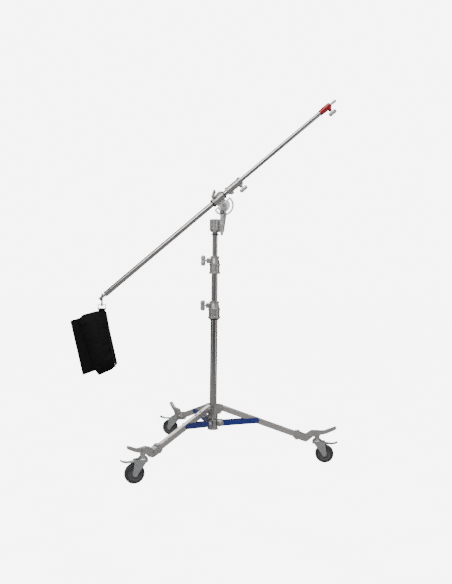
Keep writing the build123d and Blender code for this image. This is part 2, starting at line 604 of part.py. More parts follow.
BRACE_SIDE = side_view(BRACE_PIVOT, BRACE_BOLT - BRACE_PIVOT)
with BuildPart() as brace:
    for side in (1, -1):
        with BuildSketch(BRACE_SIDE.offset(side * BRACE_INNER)):
            with Locations((BRACE_LENGTH / 2, 0)):
                SlotCenterToCenter(BRACE_LENGTH, BRACE_HEIGHT)
            Circle(PIVOT_BOLT_R + RUN, mode=Mode.SUBTRACT)
        extrude(amount=side * BRACE_WALL)
    with BuildSketch(BRACE_SIDE):
        with Locations(((WEB_SPAN[0] + WEB_SPAN[1]) / 2, (BRACE_WALL - BRACE_HEIGHT) / 2)):
            Rectangle(WEB_SPAN[1] - WEB_SPAN[0], BRACE_WALL)
    extrude(amount=BRACE_INNER, both=True)

with BuildPart() as brace_heads:
    for side in (1, -1):
        with BuildSketch(BRACE_SIDE.offset(side * (BRACE_INNER + BRACE_WALL))):
            with Locations((BRACE_LENGTH, 0)):
                RegularPolygon(8, 6)
        extrude(amount=side * 4)


def caster_pieces():
    """One caster's pieces, swivelling about Z at the origin and trailing along +X."""
    low, high = FORK_HEAD_Z
    pieces = {"caster_stem": turned([
        (0, low + 4), (AXLE_R, low + 4), (AXLE_R, high + GAP), (22, high + GAP), (22, high + RACE),
        (STEM_R, high + RACE), (STEM_R, high + RACE + STEM_LENGTH), (0, high + RACE + STEM_LENGTH),
    ])}
    with BuildPart() as fork:
        with BuildSketch(Plane.XY.offset(low)):
            Circle(FORK_HEAD_R)
        extrude(amount=high - low)
        chamfer(fork.edges().group_by(Axis.Z)[-1], 3)
        for side in (1, -1):
            with BuildSketch(Plane.XZ.offset(side * FORK_CHEEK_Y[0])):
                with BuildLine():
                    Polyline(
                        (-14, low), (-10, high - 4), (20, high - 4), (PEDAL_PIN[0] + 9, high - 6),
                        (TRAIL + 13, WHEEL_R), (TRAIL - 13, WHEEL_R), close=True,
                    )
                make_face()
                with Locations((TRAIL, WHEEL_R)):
                    Circle(13)
                    Circle(AXLE_R, mode=Mode.SUBTRACT)
                with Locations(PEDAL_PIN):
                    Circle(PEDAL_PIN_R, mode=Mode.SUBTRACT)
            extrude(amount=side * (FORK_CHEEK_Y[1] - FORK_CHEEK_Y[0]))
        with BuildSketch(Plane.XY.offset(low + 2.5)):
            Circle(AXLE_R + RUN)
        extrude(amount=high - low, mode=Mode.SUBTRACT)
    axle = bolt_across((TRAIL, 0, WHEEL_R), AXLE_R, FORK_CHEEK_Y[1], 8, 4)
    with BuildPart() as pin:
        with BuildSketch(side_view((PEDAL_PIN[0], 0, PEDAL_PIN[1]))):
            Circle(PEDAL_PIN_R)
        extrude(amount=FORK_CHEEK_Y[1], both=True)
    pieces["caster_fork"] = Compound(children=[fork.part, axle, pin.part])
    wheel_axis = Plane(origin=(TRAIL, 0, WHEEL_R), x_dir=(1, 0, 0), z_dir=(0, 0, 1))
    half = WHEEL_WIDTH / 2
    pieces["caster_tyre"] = turned([
        (CORE_R, -half), (WHEEL_R - 4, -half), (WHEEL_R, 4 - half), (WHEEL_R, half - 4),
        (WHEEL_R - 4, half), (CORE_R, half),
    ], wheel_axis)
    pieces["caster_core"] = turned([
        (AXLE_R + RUN, -half), (15, -half), (18, 5 - half), (CORE_R - 5, 5 - half), (CORE_R, 1 - half),
        (CORE_R, half - 1), (CORE_R - 5, half - 5), (18, half - 5), (15, half), (AXLE_R + RUN, half),
    ], wheel_axis)
    x, z = PEDAL_PIN
    with BuildPart() as pedal:
        with BuildSketch(Plane.XZ):
            with BuildLine():
                Polyline(
                    (x, z - 4.5), (x + 46, z - 5.5), (x + 66, z - 1), (x + 77, z + 5.5), (x + 74, z + 8.5),
                    (x + 62, z + 2.5), (x + 45, z - 1.5), (x, z + 2), close=True,
                )
            make_face()
            with Locations(PEDAL_PIN):
                Circle(5)
                Circle(PEDAL_PIN_R + RUN, mode=Mode.SUBTRACT)
        extrude(amount=15, both=True)
    pieces["brake_pedal"] = pedal.part
    return pieces


for number, (azimuth, heading) in enumerate(zip(LEG_AZIMUTHS, CASTER_HEADINGS), start=1):
    save(leg_tube.part.rotate(Axis.Z, azimuth), f"leg_tube_{number}")
    save(Compound(children=[
        leg_casting.part.rotate(Axis.Z, azimuth), clamp_bolt.rotate(Axis.Z, azimuth),
    ]), f"leg_end_{number}")
    save(Compound(children=[
        brace.part.rotate(Axis.Z, azimuth), *brace_heads.part.rotate(Axis.Z, azimuth).solids(),
    ]), f"brace_{number}")
    stem = (STEM_RADIUS * cos(radians(azimuth)), STEM_RADIUS * sin(radians(azimuth)), 0)
    for piece_name, piece in caster_pieces().items():
        save(piece.moved(Location(stem, (0, 0, heading))), f"{piece_name}_{number}")

# =============================================================================
# Snap hook, bag ring and sandbag
# =============================================================================
HOOK_FACE = Plane(origin=HOOK_PIN, x_dir=(0, 1, 0), z_dir=(1, 0, 0))
HOOK_FRONT = side_view(HOOK_PIN)
loop_middle = (HOOK_ABOVE - HOOK_BELOW) / 2
loop_length = HOOK_ABOVE + HOOK_BELOW
with BuildPart() as snap_hook:
    with BuildSketch(HOOK_FACE):
        with Locations((0, loop_middle)):
            SlotOverall(loop_length + 2 * HOOK_WIRE_R, 2 * (HOOK_HALF_WIDTH + HOOK_WIRE_R), rotation=90)
            SlotOverall(
                loop_length - 2 * HOOK_WIRE_R, 2 * (HOOK_HALF_WIDTH - HOOK_WIRE_R), rotation=90,
                mode=Mode.SUBTRACT,
            )
    extrude(amount=HOOK_WIRE_R, both=True)
    fillet(snap_hook.edges(), 2)
    hook_axis = Plane(origin=HOOK_PIN, x_dir=(1, 0, 0), z_dir=(0, -1, 0))
    add(turned([
        (0, -NECK_Z[0]), (6, -NECK_Z[0]), (6, -NECK_Z[1]), (3, -NECK_Z[1]), (3, -NECK_Z[2]),
        (5, -NECK_Z[2]), (5, -NECK_Z[2] - 3), (0, -NECK_Z[2] - 3),
    ], hook_axis))
save(snap_hook.part, "snap_hook")

with BuildPart() as bag_ring:
    with BuildSketch(HOOK_FRONT):
        with Locations((0, -(RING_Z[0] + RING_Z[1]) / 2)):
            RectangleRounded(2 * RING_HALF, RING_Z[1] - RING_Z[0], 6)
            RectangleRounded(
                2 * (RING_HALF - RING_BAR), RING_Z[1] - RING_Z[0] - 2 * RING_BAR, 3, mode=Mode.SUBTRACT,
            )
        with Locations((0, -RING_Z[0] - 4)):
            Rectangle(14, 8)
    extrude(amount=RING_BAR * 0.75, both=True)
    with BuildSketch(Plane.XY.offset(HOOK_PIN.Z - RING_Z[0])):
        with Locations((HOOK_PIN.X, 0)):
            Circle(6)
    extrude(amount=-8)
    with BuildSketch(Plane.XY.offset(HOOK_PIN.Z - RING_Z[0])):
        with Locations((HOOK_PIN.X, 0)):
            Circle(3 + RUN)
    extrude(amount=-8, mode=Mode.SUBTRACT)
save(bag_ring.part, "bag_ring")

with BuildPart() as sandbag_strap:
    low_bar = RING_Z[1]
    with BuildSketch(HOOK_FACE):
        with Locations((0, RING_BAR - low_bar)):
            Rectangle(12, 4 * RING_BAR)
        with Locations((0, -low_bar + RING_BAR / 2)):
            Rectangle(RING_BAR * 1.5 + 2 * GAP, RING_BAR + 2 * GAP, mode=Mode.SUBTRACT)
        with Locations((0, -STRAP_END / 2 - low_bar / 2)):
            Rectangle(2 * STRAP_HALF, STRAP_END - low_bar)
    extrude(amount=STRAP_WIDTH / 2, both=True)
save(sandbag_strap.part, "sandbag_strap")


def pouch(outline, near, far):
    """Flat-sided pouch from its front outline about the hook's pin, between two depths."""
    with BuildPart() as bag:
        with BuildSketch(HOOK_FRONT.offset(near)):
            with BuildLine():
                Polyline(*outline, close=True)
            make_face()
            fillet(vertices(), 10)
        extrude(amount=far - near)
        fillet(bag.edges().group_by(Axis.Y)[0 if far > near else -1], 12)
    return bag.part


FRONT_OUTLINE = [
    (-25, -76.5), (27, -77.5), (46, -174), (93, -371), (61, -405), (-12, -438), (-40, -400), (-136, -129), (-104, -98),
]
BACK_OUTLINE = [(-30, -84), (7, -96), (76, -392), (-30, -411), (-104, -439), (-178, -135)]
save(pouch(FRONT_OUTLINE, STRAP_HALF + 0.5, STRAP_HALF + POUCH_DEPTH), "sandbag_front")
save(pouch(BACK_OUTLINE, -STRAP_HALF - 0.5, -STRAP_HALF - POUCH_DEPTH), "sandbag_back")
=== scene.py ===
"""Looks of a convertible boom stand on casters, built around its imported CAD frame.

Every class below holds one sub-assembly's sizes and dresses it. Lengths are in metres, +Z is up,
the origin is on the floor on the mast's axis, and +X is the side that the boom's tip leans over.
"""

import logging
import math
from dataclasses import dataclass
from enum import Enum

import bmesh
import bpy
import numpy as np
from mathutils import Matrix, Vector
from mathutils.bvhtree import BVHTree


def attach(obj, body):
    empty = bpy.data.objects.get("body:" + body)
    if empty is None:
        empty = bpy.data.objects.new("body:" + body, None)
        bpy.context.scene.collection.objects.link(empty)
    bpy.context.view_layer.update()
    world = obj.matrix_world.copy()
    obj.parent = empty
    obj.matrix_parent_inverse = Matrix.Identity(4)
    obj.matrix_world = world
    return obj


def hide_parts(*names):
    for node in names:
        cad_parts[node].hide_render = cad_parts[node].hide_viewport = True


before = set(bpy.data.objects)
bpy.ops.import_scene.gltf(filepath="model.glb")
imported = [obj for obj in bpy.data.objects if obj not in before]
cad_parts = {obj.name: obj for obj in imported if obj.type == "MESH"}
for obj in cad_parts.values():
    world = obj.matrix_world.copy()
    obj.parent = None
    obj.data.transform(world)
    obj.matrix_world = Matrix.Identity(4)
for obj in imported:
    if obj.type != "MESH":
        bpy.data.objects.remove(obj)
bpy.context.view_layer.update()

LOG = logging.getLogger("boom_stand")
Colour = tuple[float, float, float]


# ---------------------------------------------------------------------------------------
# Directions and places that several pieces share
# ---------------------------------------------------------------------------------------
BOOM_SLOPE = math.radians(40.8)
LEG_SLOPE = math.radians(17.9)
LEG_AZIMUTHS = tuple(math.radians(a) for a in (-6.0, 114.0, 234.0))
CASTER_HEADINGS = tuple(math.radians(a) for a in (-12.0, 165.0, 200.0))

MM = 0.001
BOOM_AXIS = np.array([math.cos(BOOM_SLOPE), 0.0, math.sin(BOOM_SLOPE)])
BOOM_UP = np.array([-math.sin(BOOM_SLOPE), 0.0, math.cos(BOOM_SLOPE)])
TILT_PIVOT = np.array([45.0, 0.0, 1414.0]) * MM
BOOM_LIFT, HOOK_REACH = 45.0, 852.0
BOOM_ZERO = TILT_PIVOT + BOOM_LIFT * MM * BOOM_UP
HOOK_PIN = BOOM_ZERO - HOOK_REACH * MM * BOOM_AXIS
X_AXIS, Y_AXIS, Z_AXIS = np.eye(3)


class Grain(Enum):
    """Which way a piece's fine lines run, as the turn that lays them along the pattern's Z."""

    UPRIGHT = (0.0, 0.0, 0.0)
    BOOM = (0.0, math.pi / 2 - BOOM_SLOPE, 0.0)
    LEG_1 = (0.0, LEG_SLOPE - math.pi / 2, LEG_AZIMUTHS[0])
    LEG_2 = (0.0, LEG_SLOPE - math.pi / 2, LEG_AZIMUTHS[1])
    LEG_3 = (0.0, LEG_SLOPE - math.pi / 2, LEG_AZIMUTHS[2])


# ---------------------------------------------------------------------------------------
# Shader node groups, each built once
# ---------------------------------------------------------------------------------------
class Nodes:
    """Short hand for wiring one node tree.

    The Mix node's colour sockets share their names with its other kinds, so they go by number.
    """

    MIX_FACTOR, MIX_FIRST, MIX_SECOND, MIX_RESULT = 0, 6, 7, 2

    def __init__(self, tree: bpy.types.NodeTree) -> None:
        """Keeps the tree.

        Args:
            tree: the tree to add nodes to.
        """
        self.tree = tree

    def add(self, kind: str, **settings: object) -> bpy.types.Node:
        """Adds a node and sets its properties.

        Args:
            kind: the node's type name.
            settings: property names and values.

        Returns:
            The new node.
        """
        node = self.tree.nodes.new(kind)
        for name, value in settings.items():
            setattr(node, name, value)
        return node

    def link(self, start: bpy.types.NodeSocket, end: bpy.types.NodeSocket) -> None:
        """Joins an output, the start, to an input, the end."""
        self.tree.links.new(start, end)

    def feed(self, node: bpy.types.Node, socket: int | str, value: object) -> None:
        """Gives an input either a link or a plain value.

        Args:
            node: the node that is fed.
            socket: its input's name or number.
            value: an output socket, or the number or colour itself.
        """
        if isinstance(value, bpy.types.NodeSocket):
            self.link(value, node.inputs[socket])
        else:
            node.inputs[socket].default_value = value

    def maths(self, operation: str, *values: object, clamp: bool = False) -> bpy.types.NodeSocket:
        """One Math node.

        Args:
            operation: Blender's name for it.
            values: outputs or numbers, in order.
            clamp: whether the result stays from 0 to 1.

        Returns:
            The result's socket.
        """
        node = self.add("ShaderNodeMath", operation=operation, use_clamp=clamp)
        for index, value in enumerate(values):
            self.feed(node, index, value)
        return node.outputs[0]

    def remap(self, value: object, low: float, high: float, start: float = 0.0,
              end: float = 1.0) -> bpy.types.NodeSocket:
        """A clamped remap, eased at both ends like a smooth step.

        Args:
            value: what is remapped.
            low: the value that gives the start.
            high: the value that gives the end.
            start: the result at low.
            end: the result at high.

        Returns:
            The result's socket.
        """
        node = self.add("ShaderNodeMapRange", interpolation_type="SMOOTHSTEP")
        for index, number in enumerate((value, low, high, start, end)):
            self.feed(node, index, number)
        return node.outputs[0]

    def noise(self, vector: object, scale: object, detail: float = 3.0,
              rough: float = 0.55) -> bpy.types.NodeSocket:
        """A noise pattern.

        Args:
            vector: where it is read.
            scale: how many blotches there are to a metre.
            detail: how many finer layers it has.
            rough: how strong each finer layer is.

        Returns:
            The socket of its value, from 0 to 1.
        """
        node = self.add("ShaderNodeTexNoise")
        self.feed(node, "Vector", vector)
        self.feed(node, "Scale", scale)
        self.feed(node, "Detail", detail)
        self.feed(node, "Roughness", rough)
        return node.outputs[0]

    def mix(self, factor: object, first: object, second: object) -> bpy.types.NodeSocket:
        """A mix of two colours.

        Args:
            factor: how much of the second there is.
            first: the colour at 0.
            second: the colour at 1.

        Returns:
            The mixed colour's socket.
        """
        node = self.add("ShaderNodeMix", data_type="RGBA")
        self.feed(node, self.MIX_FACTOR, factor)
        self.feed(node, self.MIX_FIRST, first)
        self.feed(node, self.MIX_SECOND, second)
        return node.outputs[self.MIX_RESULT]

    def stretch(self, vector: object, scale: tuple[float, float, float]) -> bpy.types.NodeSocket:
        """A vector times a scale along each axis.

        Args:
            vector: the vector's socket.
            scale: the three factors.

        Returns:
            The product's socket.
        """
        node = self.add("ShaderNodeVectorMath", operation="MULTIPLY")
        self.feed(node, 0, vector)
        node.inputs[1].default_value = scale
        return node.outputs[0]


class Effects:
    """The node groups that several finishes share."""

    def __init__(self) -> None:
        """Builds every group once."""
        self.drawn = self._drawn()
        self.cast = self._cast()
        self.wear = self._wear()
        self.dust = self._dust()
        self.weave = self._weave()

    @staticmethod
    def _start(
        name: str, inputs: dict[str, float | None], outputs: tuple[str, ...]
    ) -> tuple[bpy.types.NodeTree, Nodes, bpy.types.Node, bpy.types.Node]:
        """Makes an empty group.

        Args:
            name: the group's name.
            inputs: socket names with their defaults, None for a vector.
            outputs: names of the values that it gives.

        Returns:
            The tree, its short hand, its input node and its output node.
        """
        tree = bpy.data.node_groups.new(name, "ShaderNodeTree")
        for socket, default in inputs.items():
            kind = "NodeSocketVector" if default is None else "NodeSocketFloat"
            made = tree.interface.new_socket(socket, in_out="INPUT", socket_type=kind)
            if default is not None:
                made.default_value = default
        for socket in outputs:
            tree.interface.new_socket(socket, in_out="OUTPUT", socket_type="NodeSocketFloat")
        nodes = Nodes(tree)
        return tree, nodes, nodes.add("NodeGroupInput"), nodes.add("NodeGroupOutput")

    def _drawn(self) -> bpy.types.NodeTree:
        """Lines along Z from drawing and sliding, with slow shade changes and rings of rub.

        Returns:
            The group.
        """
        tree, n, start, end = self._start(
            "drawn_grain", {"Vector": None, "Fine": 900.0}, ("Height", "Shade", "Rub"))
        along = n.stretch(start.outputs["Vector"], (1.0, 1.0, 0.012))
        n.link(n.noise(along, start.outputs["Fine"], 2.0), end.inputs["Height"])
        n.link(n.noise(n.stretch(start.outputs["Vector"], (1.0, 1.0, 0.15)), 28.0, 4.0), end.inputs["Shade"])
        rings = n.noise(n.stretch(start.outputs["Vector"], (0.15, 0.15, 1.0)), 14.0, 3.0)
        n.link(n.remap(rings, 0.56, 0.7), end.inputs["Rub"])
        return tree

    def _cast(self) -> bpy.types.NodeTree:
        """Fine pebble and slow blotches of a tumbled die casting.

        Returns:
            The group.
        """
        tree, n, start, end = self._start("cast_skin", {"Vector": None, "Pebble": 900.0}, ("Height", "Shade"))
        n.link(n.noise(start.outputs["Vector"], start.outputs["Pebble"], 4.0, 0.6), end.inputs["Height"])
        n.link(n.noise(start.outputs["Vector"], 38.0, 5.0, 0.6), end.inputs["Shade"])
        return tree

    def _wear(self) -> bpy.types.NodeTree:
        """Scuffs: thin scattered marks, and rubbed convex edges.

        Returns:
            The group.
        """
        tree, n, start, end = self._start(
            "handling_wear", {"Vector": None, "Edge": 0.0015, "Marks": 0.5}, ("Mask", "Edges"))
        bevel = n.add("ShaderNodeBevel", samples=4)
        n.link(start.outputs["Edge"], bevel.inputs["Radius"])
        shape = n.add("ShaderNodeNewGeometry")
        dot = n.add("ShaderNodeVectorMath", operation="DOT_PRODUCT")
        n.link(bevel.outputs[0], dot.inputs[0])
        n.link(shape.outputs["Normal"], dot.inputs[1])
        broken = n.noise(start.outputs["Vector"], 160.0, 4.0)
        edge = n.maths("SUBTRACT", 1.0, n.remap(dot.outputs["Value"], 0.86, 0.995))
        n.link(n.maths("MULTIPLY", edge, n.remap(broken, 0.38, 0.62), clamp=True), end.inputs["Edges"])
        thin = n.add("ShaderNodeTexVoronoi", feature="DISTANCE_TO_EDGE")
        n.link(n.stretch(start.outputs["Vector"], (1.0, 0.35, 1.0)), thin.inputs["Vector"])
        thin.inputs["Scale"].default_value = 55.0
        line = n.maths("SUBTRACT", 1.0, n.remap(thin.outputs["Distance"], 0.0, 0.014))
        patch = n.remap(n.noise(start.outputs["Vector"], 24.0, 2.0), 0.5, 0.62)
        marks = n.maths("MULTIPLY", n.maths("MULTIPLY", line, patch), start.outputs["Marks"], clamp=True)
        n.link(marks, end.inputs["Mask"])
        return tree

    def _dust(self) -> bpy.types.NodeTree:
        """Dust: thicker on faces that look up.

        Returns:
            The group.
        """
        tree, n, start, end = self._start("settled_dust", {"Vector": None, "Amount": 0.3}, ("Mask",))
        shape = n.add("ShaderNodeNewGeometry")
        split = n.add("ShaderNodeSeparateXYZ")
        n.link(shape.outputs["Normal"], split.inputs[0])
        up = n.remap(split.outputs["Z"], 0.1, 0.95, 0.15, 1.0)
        grains = n.remap(n.noise(start.outputs["Vector"], 75.0, 6.0, 0.65), 0.4, 0.66)
        n.link(n.maths("MULTIPLY", n.maths("MULTIPLY", up, grains), start.outputs["Amount"], clamp=True),
               end.inputs["Mask"])
        return tree

    def _weave(self) -> bpy.types.NodeTree:
        """Plain weave on a UV map in metres: a warp ridge where the cell sum is even, else a weft one.

        Returns:
            The group.
        """
        tree, n, start, end = self._start(
            "plain_weave", {"Vector": None, "Threads": 1500.0}, ("Height", "Tone"))
        split = n.add("ShaderNodeSeparateXYZ")
        n.link(start.outputs["Vector"], split.inputs[0])
        across = n.maths("MULTIPLY", split.outputs["X"], start.outputs["Threads"])
        down = n.maths("MULTIPLY", split.outputs["Y"], start.outputs["Threads"])
        ridge_u = n.maths("ABSOLUTE", n.maths("SINE", n.maths("MULTIPLY", across, math.pi)))
        ridge_v = n.maths("ABSOLUTE", n.maths("SINE", n.maths("MULTIPLY", down, math.pi)))
        cells = n.maths("ADD", n.maths("FLOOR", across), n.maths("FLOOR", down))
        odd = n.maths("ABSOLUTE", n.maths("MODULO", cells, 2.0))
        warp = n.maths("MULTIPLY", n.maths("SUBTRACT", 1.0, odd), ridge_u)
        weft = n.maths("MULTIPLY", odd, ridge_v)
        n.link(n.maths("ADD", warp, weft), end.inputs["Height"])
        n.link(n.noise(start.outputs["Vector"], 30.0, 5.0), end.inputs["Tone"])
        return tree


EFFECTS = Effects()


# ---------------------------------------------------------------------------------------
# Finishes
# ---------------------------------------------------------------------------------------
DUST_ON_TUBES = (0.42, 0.40, 0.37, 1.0)
DUST_ON_METAL = (0.40, 0.38, 0.35, 1.0)
DUST_ON_RUBBER = (0.22, 0.21, 0.19, 1.0)
LINT_ON_CLOTH = (0.16, 0.155, 0.15, 1.0)


def scaled(colour: Colour, amount: float) -> tuple[float, float, float, float]:
    """A colour times a number, with full alpha."""
    return (*(min(1.0, channel * amount) for channel in colour), 1.0)


class Paint:
    """A material under construction: the shader, its coordinates and its node short hand."""

    def __init__(self, name: str, turn: tuple[float, float, float] = (0.0, 0.0, 0.0),
                 uv: str | None = None) -> None:
        """Starts a material with a Principled shader.

        Args:
            name: the material's name.
            turn: how the pattern is turned on the piece, in radians.
            uv: a UV map's name, for a pattern that follows the surface.
        """
        self.material = bpy.data.materials.new(name)
        self.material.use_nodes = True
        self.n = Nodes(self.material.node_tree)
        self.shader = self.material.node_tree.nodes["Principled BSDF"]
        place = self.n.add("ShaderNodeMapping", vector_type="TEXTURE")
        place.inputs["Rotation"].default_value = turn
        source = self.n.add("ShaderNodeTexCoord")
        self.n.link(source.outputs["Object"], place.inputs["Vector"])
        self.place = place.outputs[0]
        self.uv = self.place
        if uv is not None:
            self.uv = self.n.add("ShaderNodeUVMap", uv_map=uv).outputs[0]

    def group(self, tree: bpy.types.NodeTree, vector: object, **values: float) -> bpy.types.Node:
        """Places a shared group.

        Args:
            tree: the group.
            vector: where its pattern is read.
            values: its own settings here.

        Returns:
            The group's node.
        """
        node = self.n.add("ShaderNodeGroup", node_tree=tree)
        self.n.feed(node, "Vector", vector)
        for name, value in values.items():
            node.inputs[name].default_value = value
        return node

    def bump(self, height: object, depth: float, strength: float = 1.0) -> None:
        """Adds relief under what is there.

        Args:
            height: the pattern.
            depth: its depth in metres.
            strength: how much of it shows.
        """
        node = self.n.add("ShaderNodeBump")
        self.n.feed(node, "Height", height)
        node.inputs["Distance"].default_value = depth
        node.inputs["Strength"].default_value = strength
        normal = self.shader.inputs["Normal"]
        if normal.links:
            self.n.link(normal.links[0].from_socket, node.inputs["Normal"])
        self.n.link(node.outputs[0], normal)

    def plus(self, value: object, mask: object, amount: float, clamp: bool = False) -> bpy.types.NodeSocket:
        """A value plus a mask times an amount."""
        return self.n.maths("ADD", value, self.n.maths("MULTIPLY", mask, amount), clamp=clamp)

    def dusted(self, tone: object, mask: object, amount: float,
               dust: tuple[float, float, float, float]) -> bpy.types.NodeSocket:
        """A tone under dust, as thick as a mask times an amount."""
        return self.n.mix(self.n.maths("MULTIPLY", mask, amount), tone, dust)

    def set(self, **values: object) -> None:
        """Feeds the shader's sockets, with underscores for the spaces in their names."""
        for name, value in values.items():
            self.n.feed(self.shader, name.replace("_", " "), value)


@dataclass(frozen=True)
class Drawn:
    """Polished or brushed tube."""

    name: str
    colour: Colour
    rough: float
    grain: Grain
    fine: float = 900.0
    dust: float = 0.15

    def make(self) -> bpy.types.Material:
        """Builds the material: grain and rub move the roughness, dust and scuffs the colour.

        Returns:
            The material.
        """
        p = Paint(self.name, self.grain.value)
        drawn = p.group(EFFECTS.drawn, p.place, Fine=self.fine)
        wear = p.group(EFFECTS.wear, p.place, Marks=0.6)
        dust = p.group(EFFECTS.dust, p.place, Amount=self.dust)
        tone = p.n.mix(drawn.outputs["Shade"], scaled(self.colour, 0.86), scaled(self.colour, 1.1))
        tone = p.dusted(tone, dust.outputs["Mask"], 0.5, DUST_ON_TUBES)
        spread = p.n.maths("MULTIPLY", p.n.maths("SUBTRACT", drawn.outputs["Height"], 0.5), 0.10)
        rough = p.n.maths("ADD", spread, self.rough)
        rough = p.plus(rough, drawn.outputs["Rub"], 0.06)
        rough = p.plus(rough, wear.outputs["Mask"], 0.2)
        rough = p.plus(rough, dust.outputs["Mask"], 0.35, clamp=True)
        p.set(Base_Color=tone, Metallic=1.0, Roughness=rough)
        p.bump(drawn.outputs["Height"], 0.00001, 0.3)
        p.bump(wear.outputs["Mask"], 0.00003, 0.4)
        return p.material


@dataclass(frozen=True)
class Cast:
    """Tumbled or plated casting with bright rubbed edges."""

    name: str
    colour: Colour
    rough: float
    metallic: float = 1.0
    pebble: float = 900.0
    relief: float = 0.00006
    edge_gain: float = 1.18
    dust: float = 0.3

    def make(self) -> bpy.types.Material:
        """Builds the material: pebble bump, blotchy tone, brighter edges and dust on top.

        Returns:
            The material.
        """
        p = Paint(self.name)
        skin = p.group(EFFECTS.cast, p.place, Pebble=self.pebble)
        wear = p.group(EFFECTS.wear, p.place, Edge=0.0016, Marks=0.7)
        dust = p.group(EFFECTS.dust, p.place, Amount=self.dust)
        tone = p.n.mix(skin.outputs["Shade"], scaled(self.colour, 0.88), scaled(self.colour, 1.07))
        tone = p.n.mix(wear.outputs["Edges"], tone, scaled(self.colour, self.edge_gain))
        tone = p.dusted(tone, dust.outputs["Mask"], 0.6, DUST_ON_METAL)
        rough = p.n.remap(skin.outputs["Shade"], 0.3, 0.7, self.rough - 0.06, self.rough + 0.08)
        rough = p.n.maths("SUBTRACT", rough, p.n.maths("MULTIPLY", wear.outputs["Edges"], 0.12))
        rough = p.plus(rough, dust.outputs["Mask"], 0.3, clamp=True)
        p.set(Base_Color=tone, Metallic=self.metallic, Roughness=rough)
        p.bump(skin.outputs["Height"], self.relief)
        p.bump(wear.outputs["Mask"], 0.00005, 0.5)
        return p.material


@dataclass(frozen=True)
class Coated:
    """Gloss paint or anodising, chipped to metal along its edges."""

    name: str
    colour: Colour
    rough: float
    bare: Colour = (0.55, 0.55, 0.56)
    metallic: float = 0.0
    coat: float = 0.5
    chips: float = 0.7

    def make(self) -> bpy.types.Material:
        """Builds the material: orange peel under a coat, with chips, scratches and dust.

        Returns:
            The material.
        """
        p = Paint(self.name)
        skin = p.group(EFFECTS.cast, p.place, Pebble=420.0)
        wear = p.group(EFFECTS.wear, p.place, Edge=0.0012, Marks=0.8)
        dust = p.group(EFFECTS.dust, p.place, Amount=0.3)
        tone = p.n.mix(skin.outputs["Shade"], scaled(self.colour, 0.8), scaled(self.colour, 1.15))
        chip = p.n.maths("MULTIPLY", wear.outputs["Edges"], self.chips)
        chip = p.n.maths("MAXIMUM", chip, p.n.maths("MULTIPLY", wear.outputs["Mask"], 0.45))
        tone = p.n.mix(chip, tone, (*self.bare, 1.0))
        tone = p.dusted(tone, dust.outputs["Mask"], 0.5, DUST_ON_METAL)
        metal = p.n.maths("MAXIMUM", chip, self.metallic)
        rough = p.n.remap(skin.outputs["Shade"], 0.3, 0.7, self.rough - 0.05, self.rough + 0.07)
        rough = p.plus(rough, dust.outputs["Mask"], 0.35, clamp=True)
        p.set(Base_Color=tone, Metallic=metal, Roughness=rough, Coat_Weight=self.coat, Coat_Roughness=0.12)
        p.bump(skin.outputs["Height"], 0.00005, 0.5)
        return p.material


@dataclass(frozen=True)
class Moulded:
    """Rubber or plastic with a moulded skin."""

    name: str
    colour: Colour
    rough: float
    relief: float = 0.00005
    dust: float = 0.45

    def make(self) -> bpy.types.Material:
        """Builds the material: soft pebble, scuffed edges and grey dust.

        Returns:
            The material.
        """
        p = Paint(self.name)
        skin = p.group(EFFECTS.cast, p.place, Pebble=1400.0)
        wear = p.group(EFFECTS.wear, p.place, Edge=0.002, Marks=0.8)
        dust = p.group(EFFECTS.dust, p.place, Amount=self.dust)
        tone = p.n.mix(skin.outputs["Shade"], scaled(self.colour, 0.75), scaled(self.colour, 1.3))
        scuff = p.n.maths("MULTIPLY", wear.outputs["Edges"], 0.35)
        tone = p.n.mix(scuff, tone, scaled(self.colour, 2.6))
        tone = p.n.mix(dust.outputs["Mask"], tone, DUST_ON_RUBBER)
        rough = p.n.remap(skin.outputs["Shade"], 0.3, 0.7, self.rough - 0.08, self.rough + 0.06)
        p.set(Base_Color=tone, Metallic=0.0, Roughness=rough)
        p.bump(skin.outputs["Height"], self.relief)
        p.bump(wear.outputs["Mask"], 0.00008, 0.6)
        return p.material


@dataclass(frozen=True)
class Woven:
    """Coated nylon cloth or webbing that reads its own UV map, in metres."""

    name: str
    colour: Colour
    threads: float
    relief: float
    rough: float = 0.62
    sheen: float = 0.25
    dust: float = 0.3

    def make(self) -> bpy.types.Material:
        """Builds the material: weave relief, blotchy tone, painted shade in the gaps between threads, and lint.

        Returns:
            The material.
        """
        p = Paint(self.name, uv="Cloth")
        weave = p.group(EFFECTS.weave, p.uv, Threads=self.threads)
        dust = p.group(EFFECTS.dust, p.place, Amount=self.dust)
        tone = p.n.mix(weave.outputs["Tone"], scaled(self.colour, 0.7), scaled(self.colour, 1.45))
        # Painted shade: the weave's low parts, the gaps between threads, are darkened towards a third of the
        # colour.
        deep = p.n.maths("MULTIPLY", p.n.maths("SUBTRACT", 1.0, weave.outputs["Height"]), 0.6, clamp=True)
        tone = p.n.mix(deep, tone, scaled(self.colour, 0.35))
        tone = p.dusted(tone, dust.outputs["Mask"], 0.15, LINT_ON_CLOTH)
        rough = p.n.remap(weave.outputs["Tone"], 0.3, 0.7, self.rough - 0.07, self.rough + 0.1)
        p.set(Base_Color=tone, Metallic=0.0, Roughness=rough, Sheen_Weight=self.sheen, Sheen_Roughness=0.4)
        p.shader.inputs["Specular IOR Level"].default_value = 0.12
        p.bump(weave.outputs["Height"], self.relief)
        return p.material


STEEL, SATIN = (0.41, 0.394, 0.382), (0.62, 0.585, 0.565)


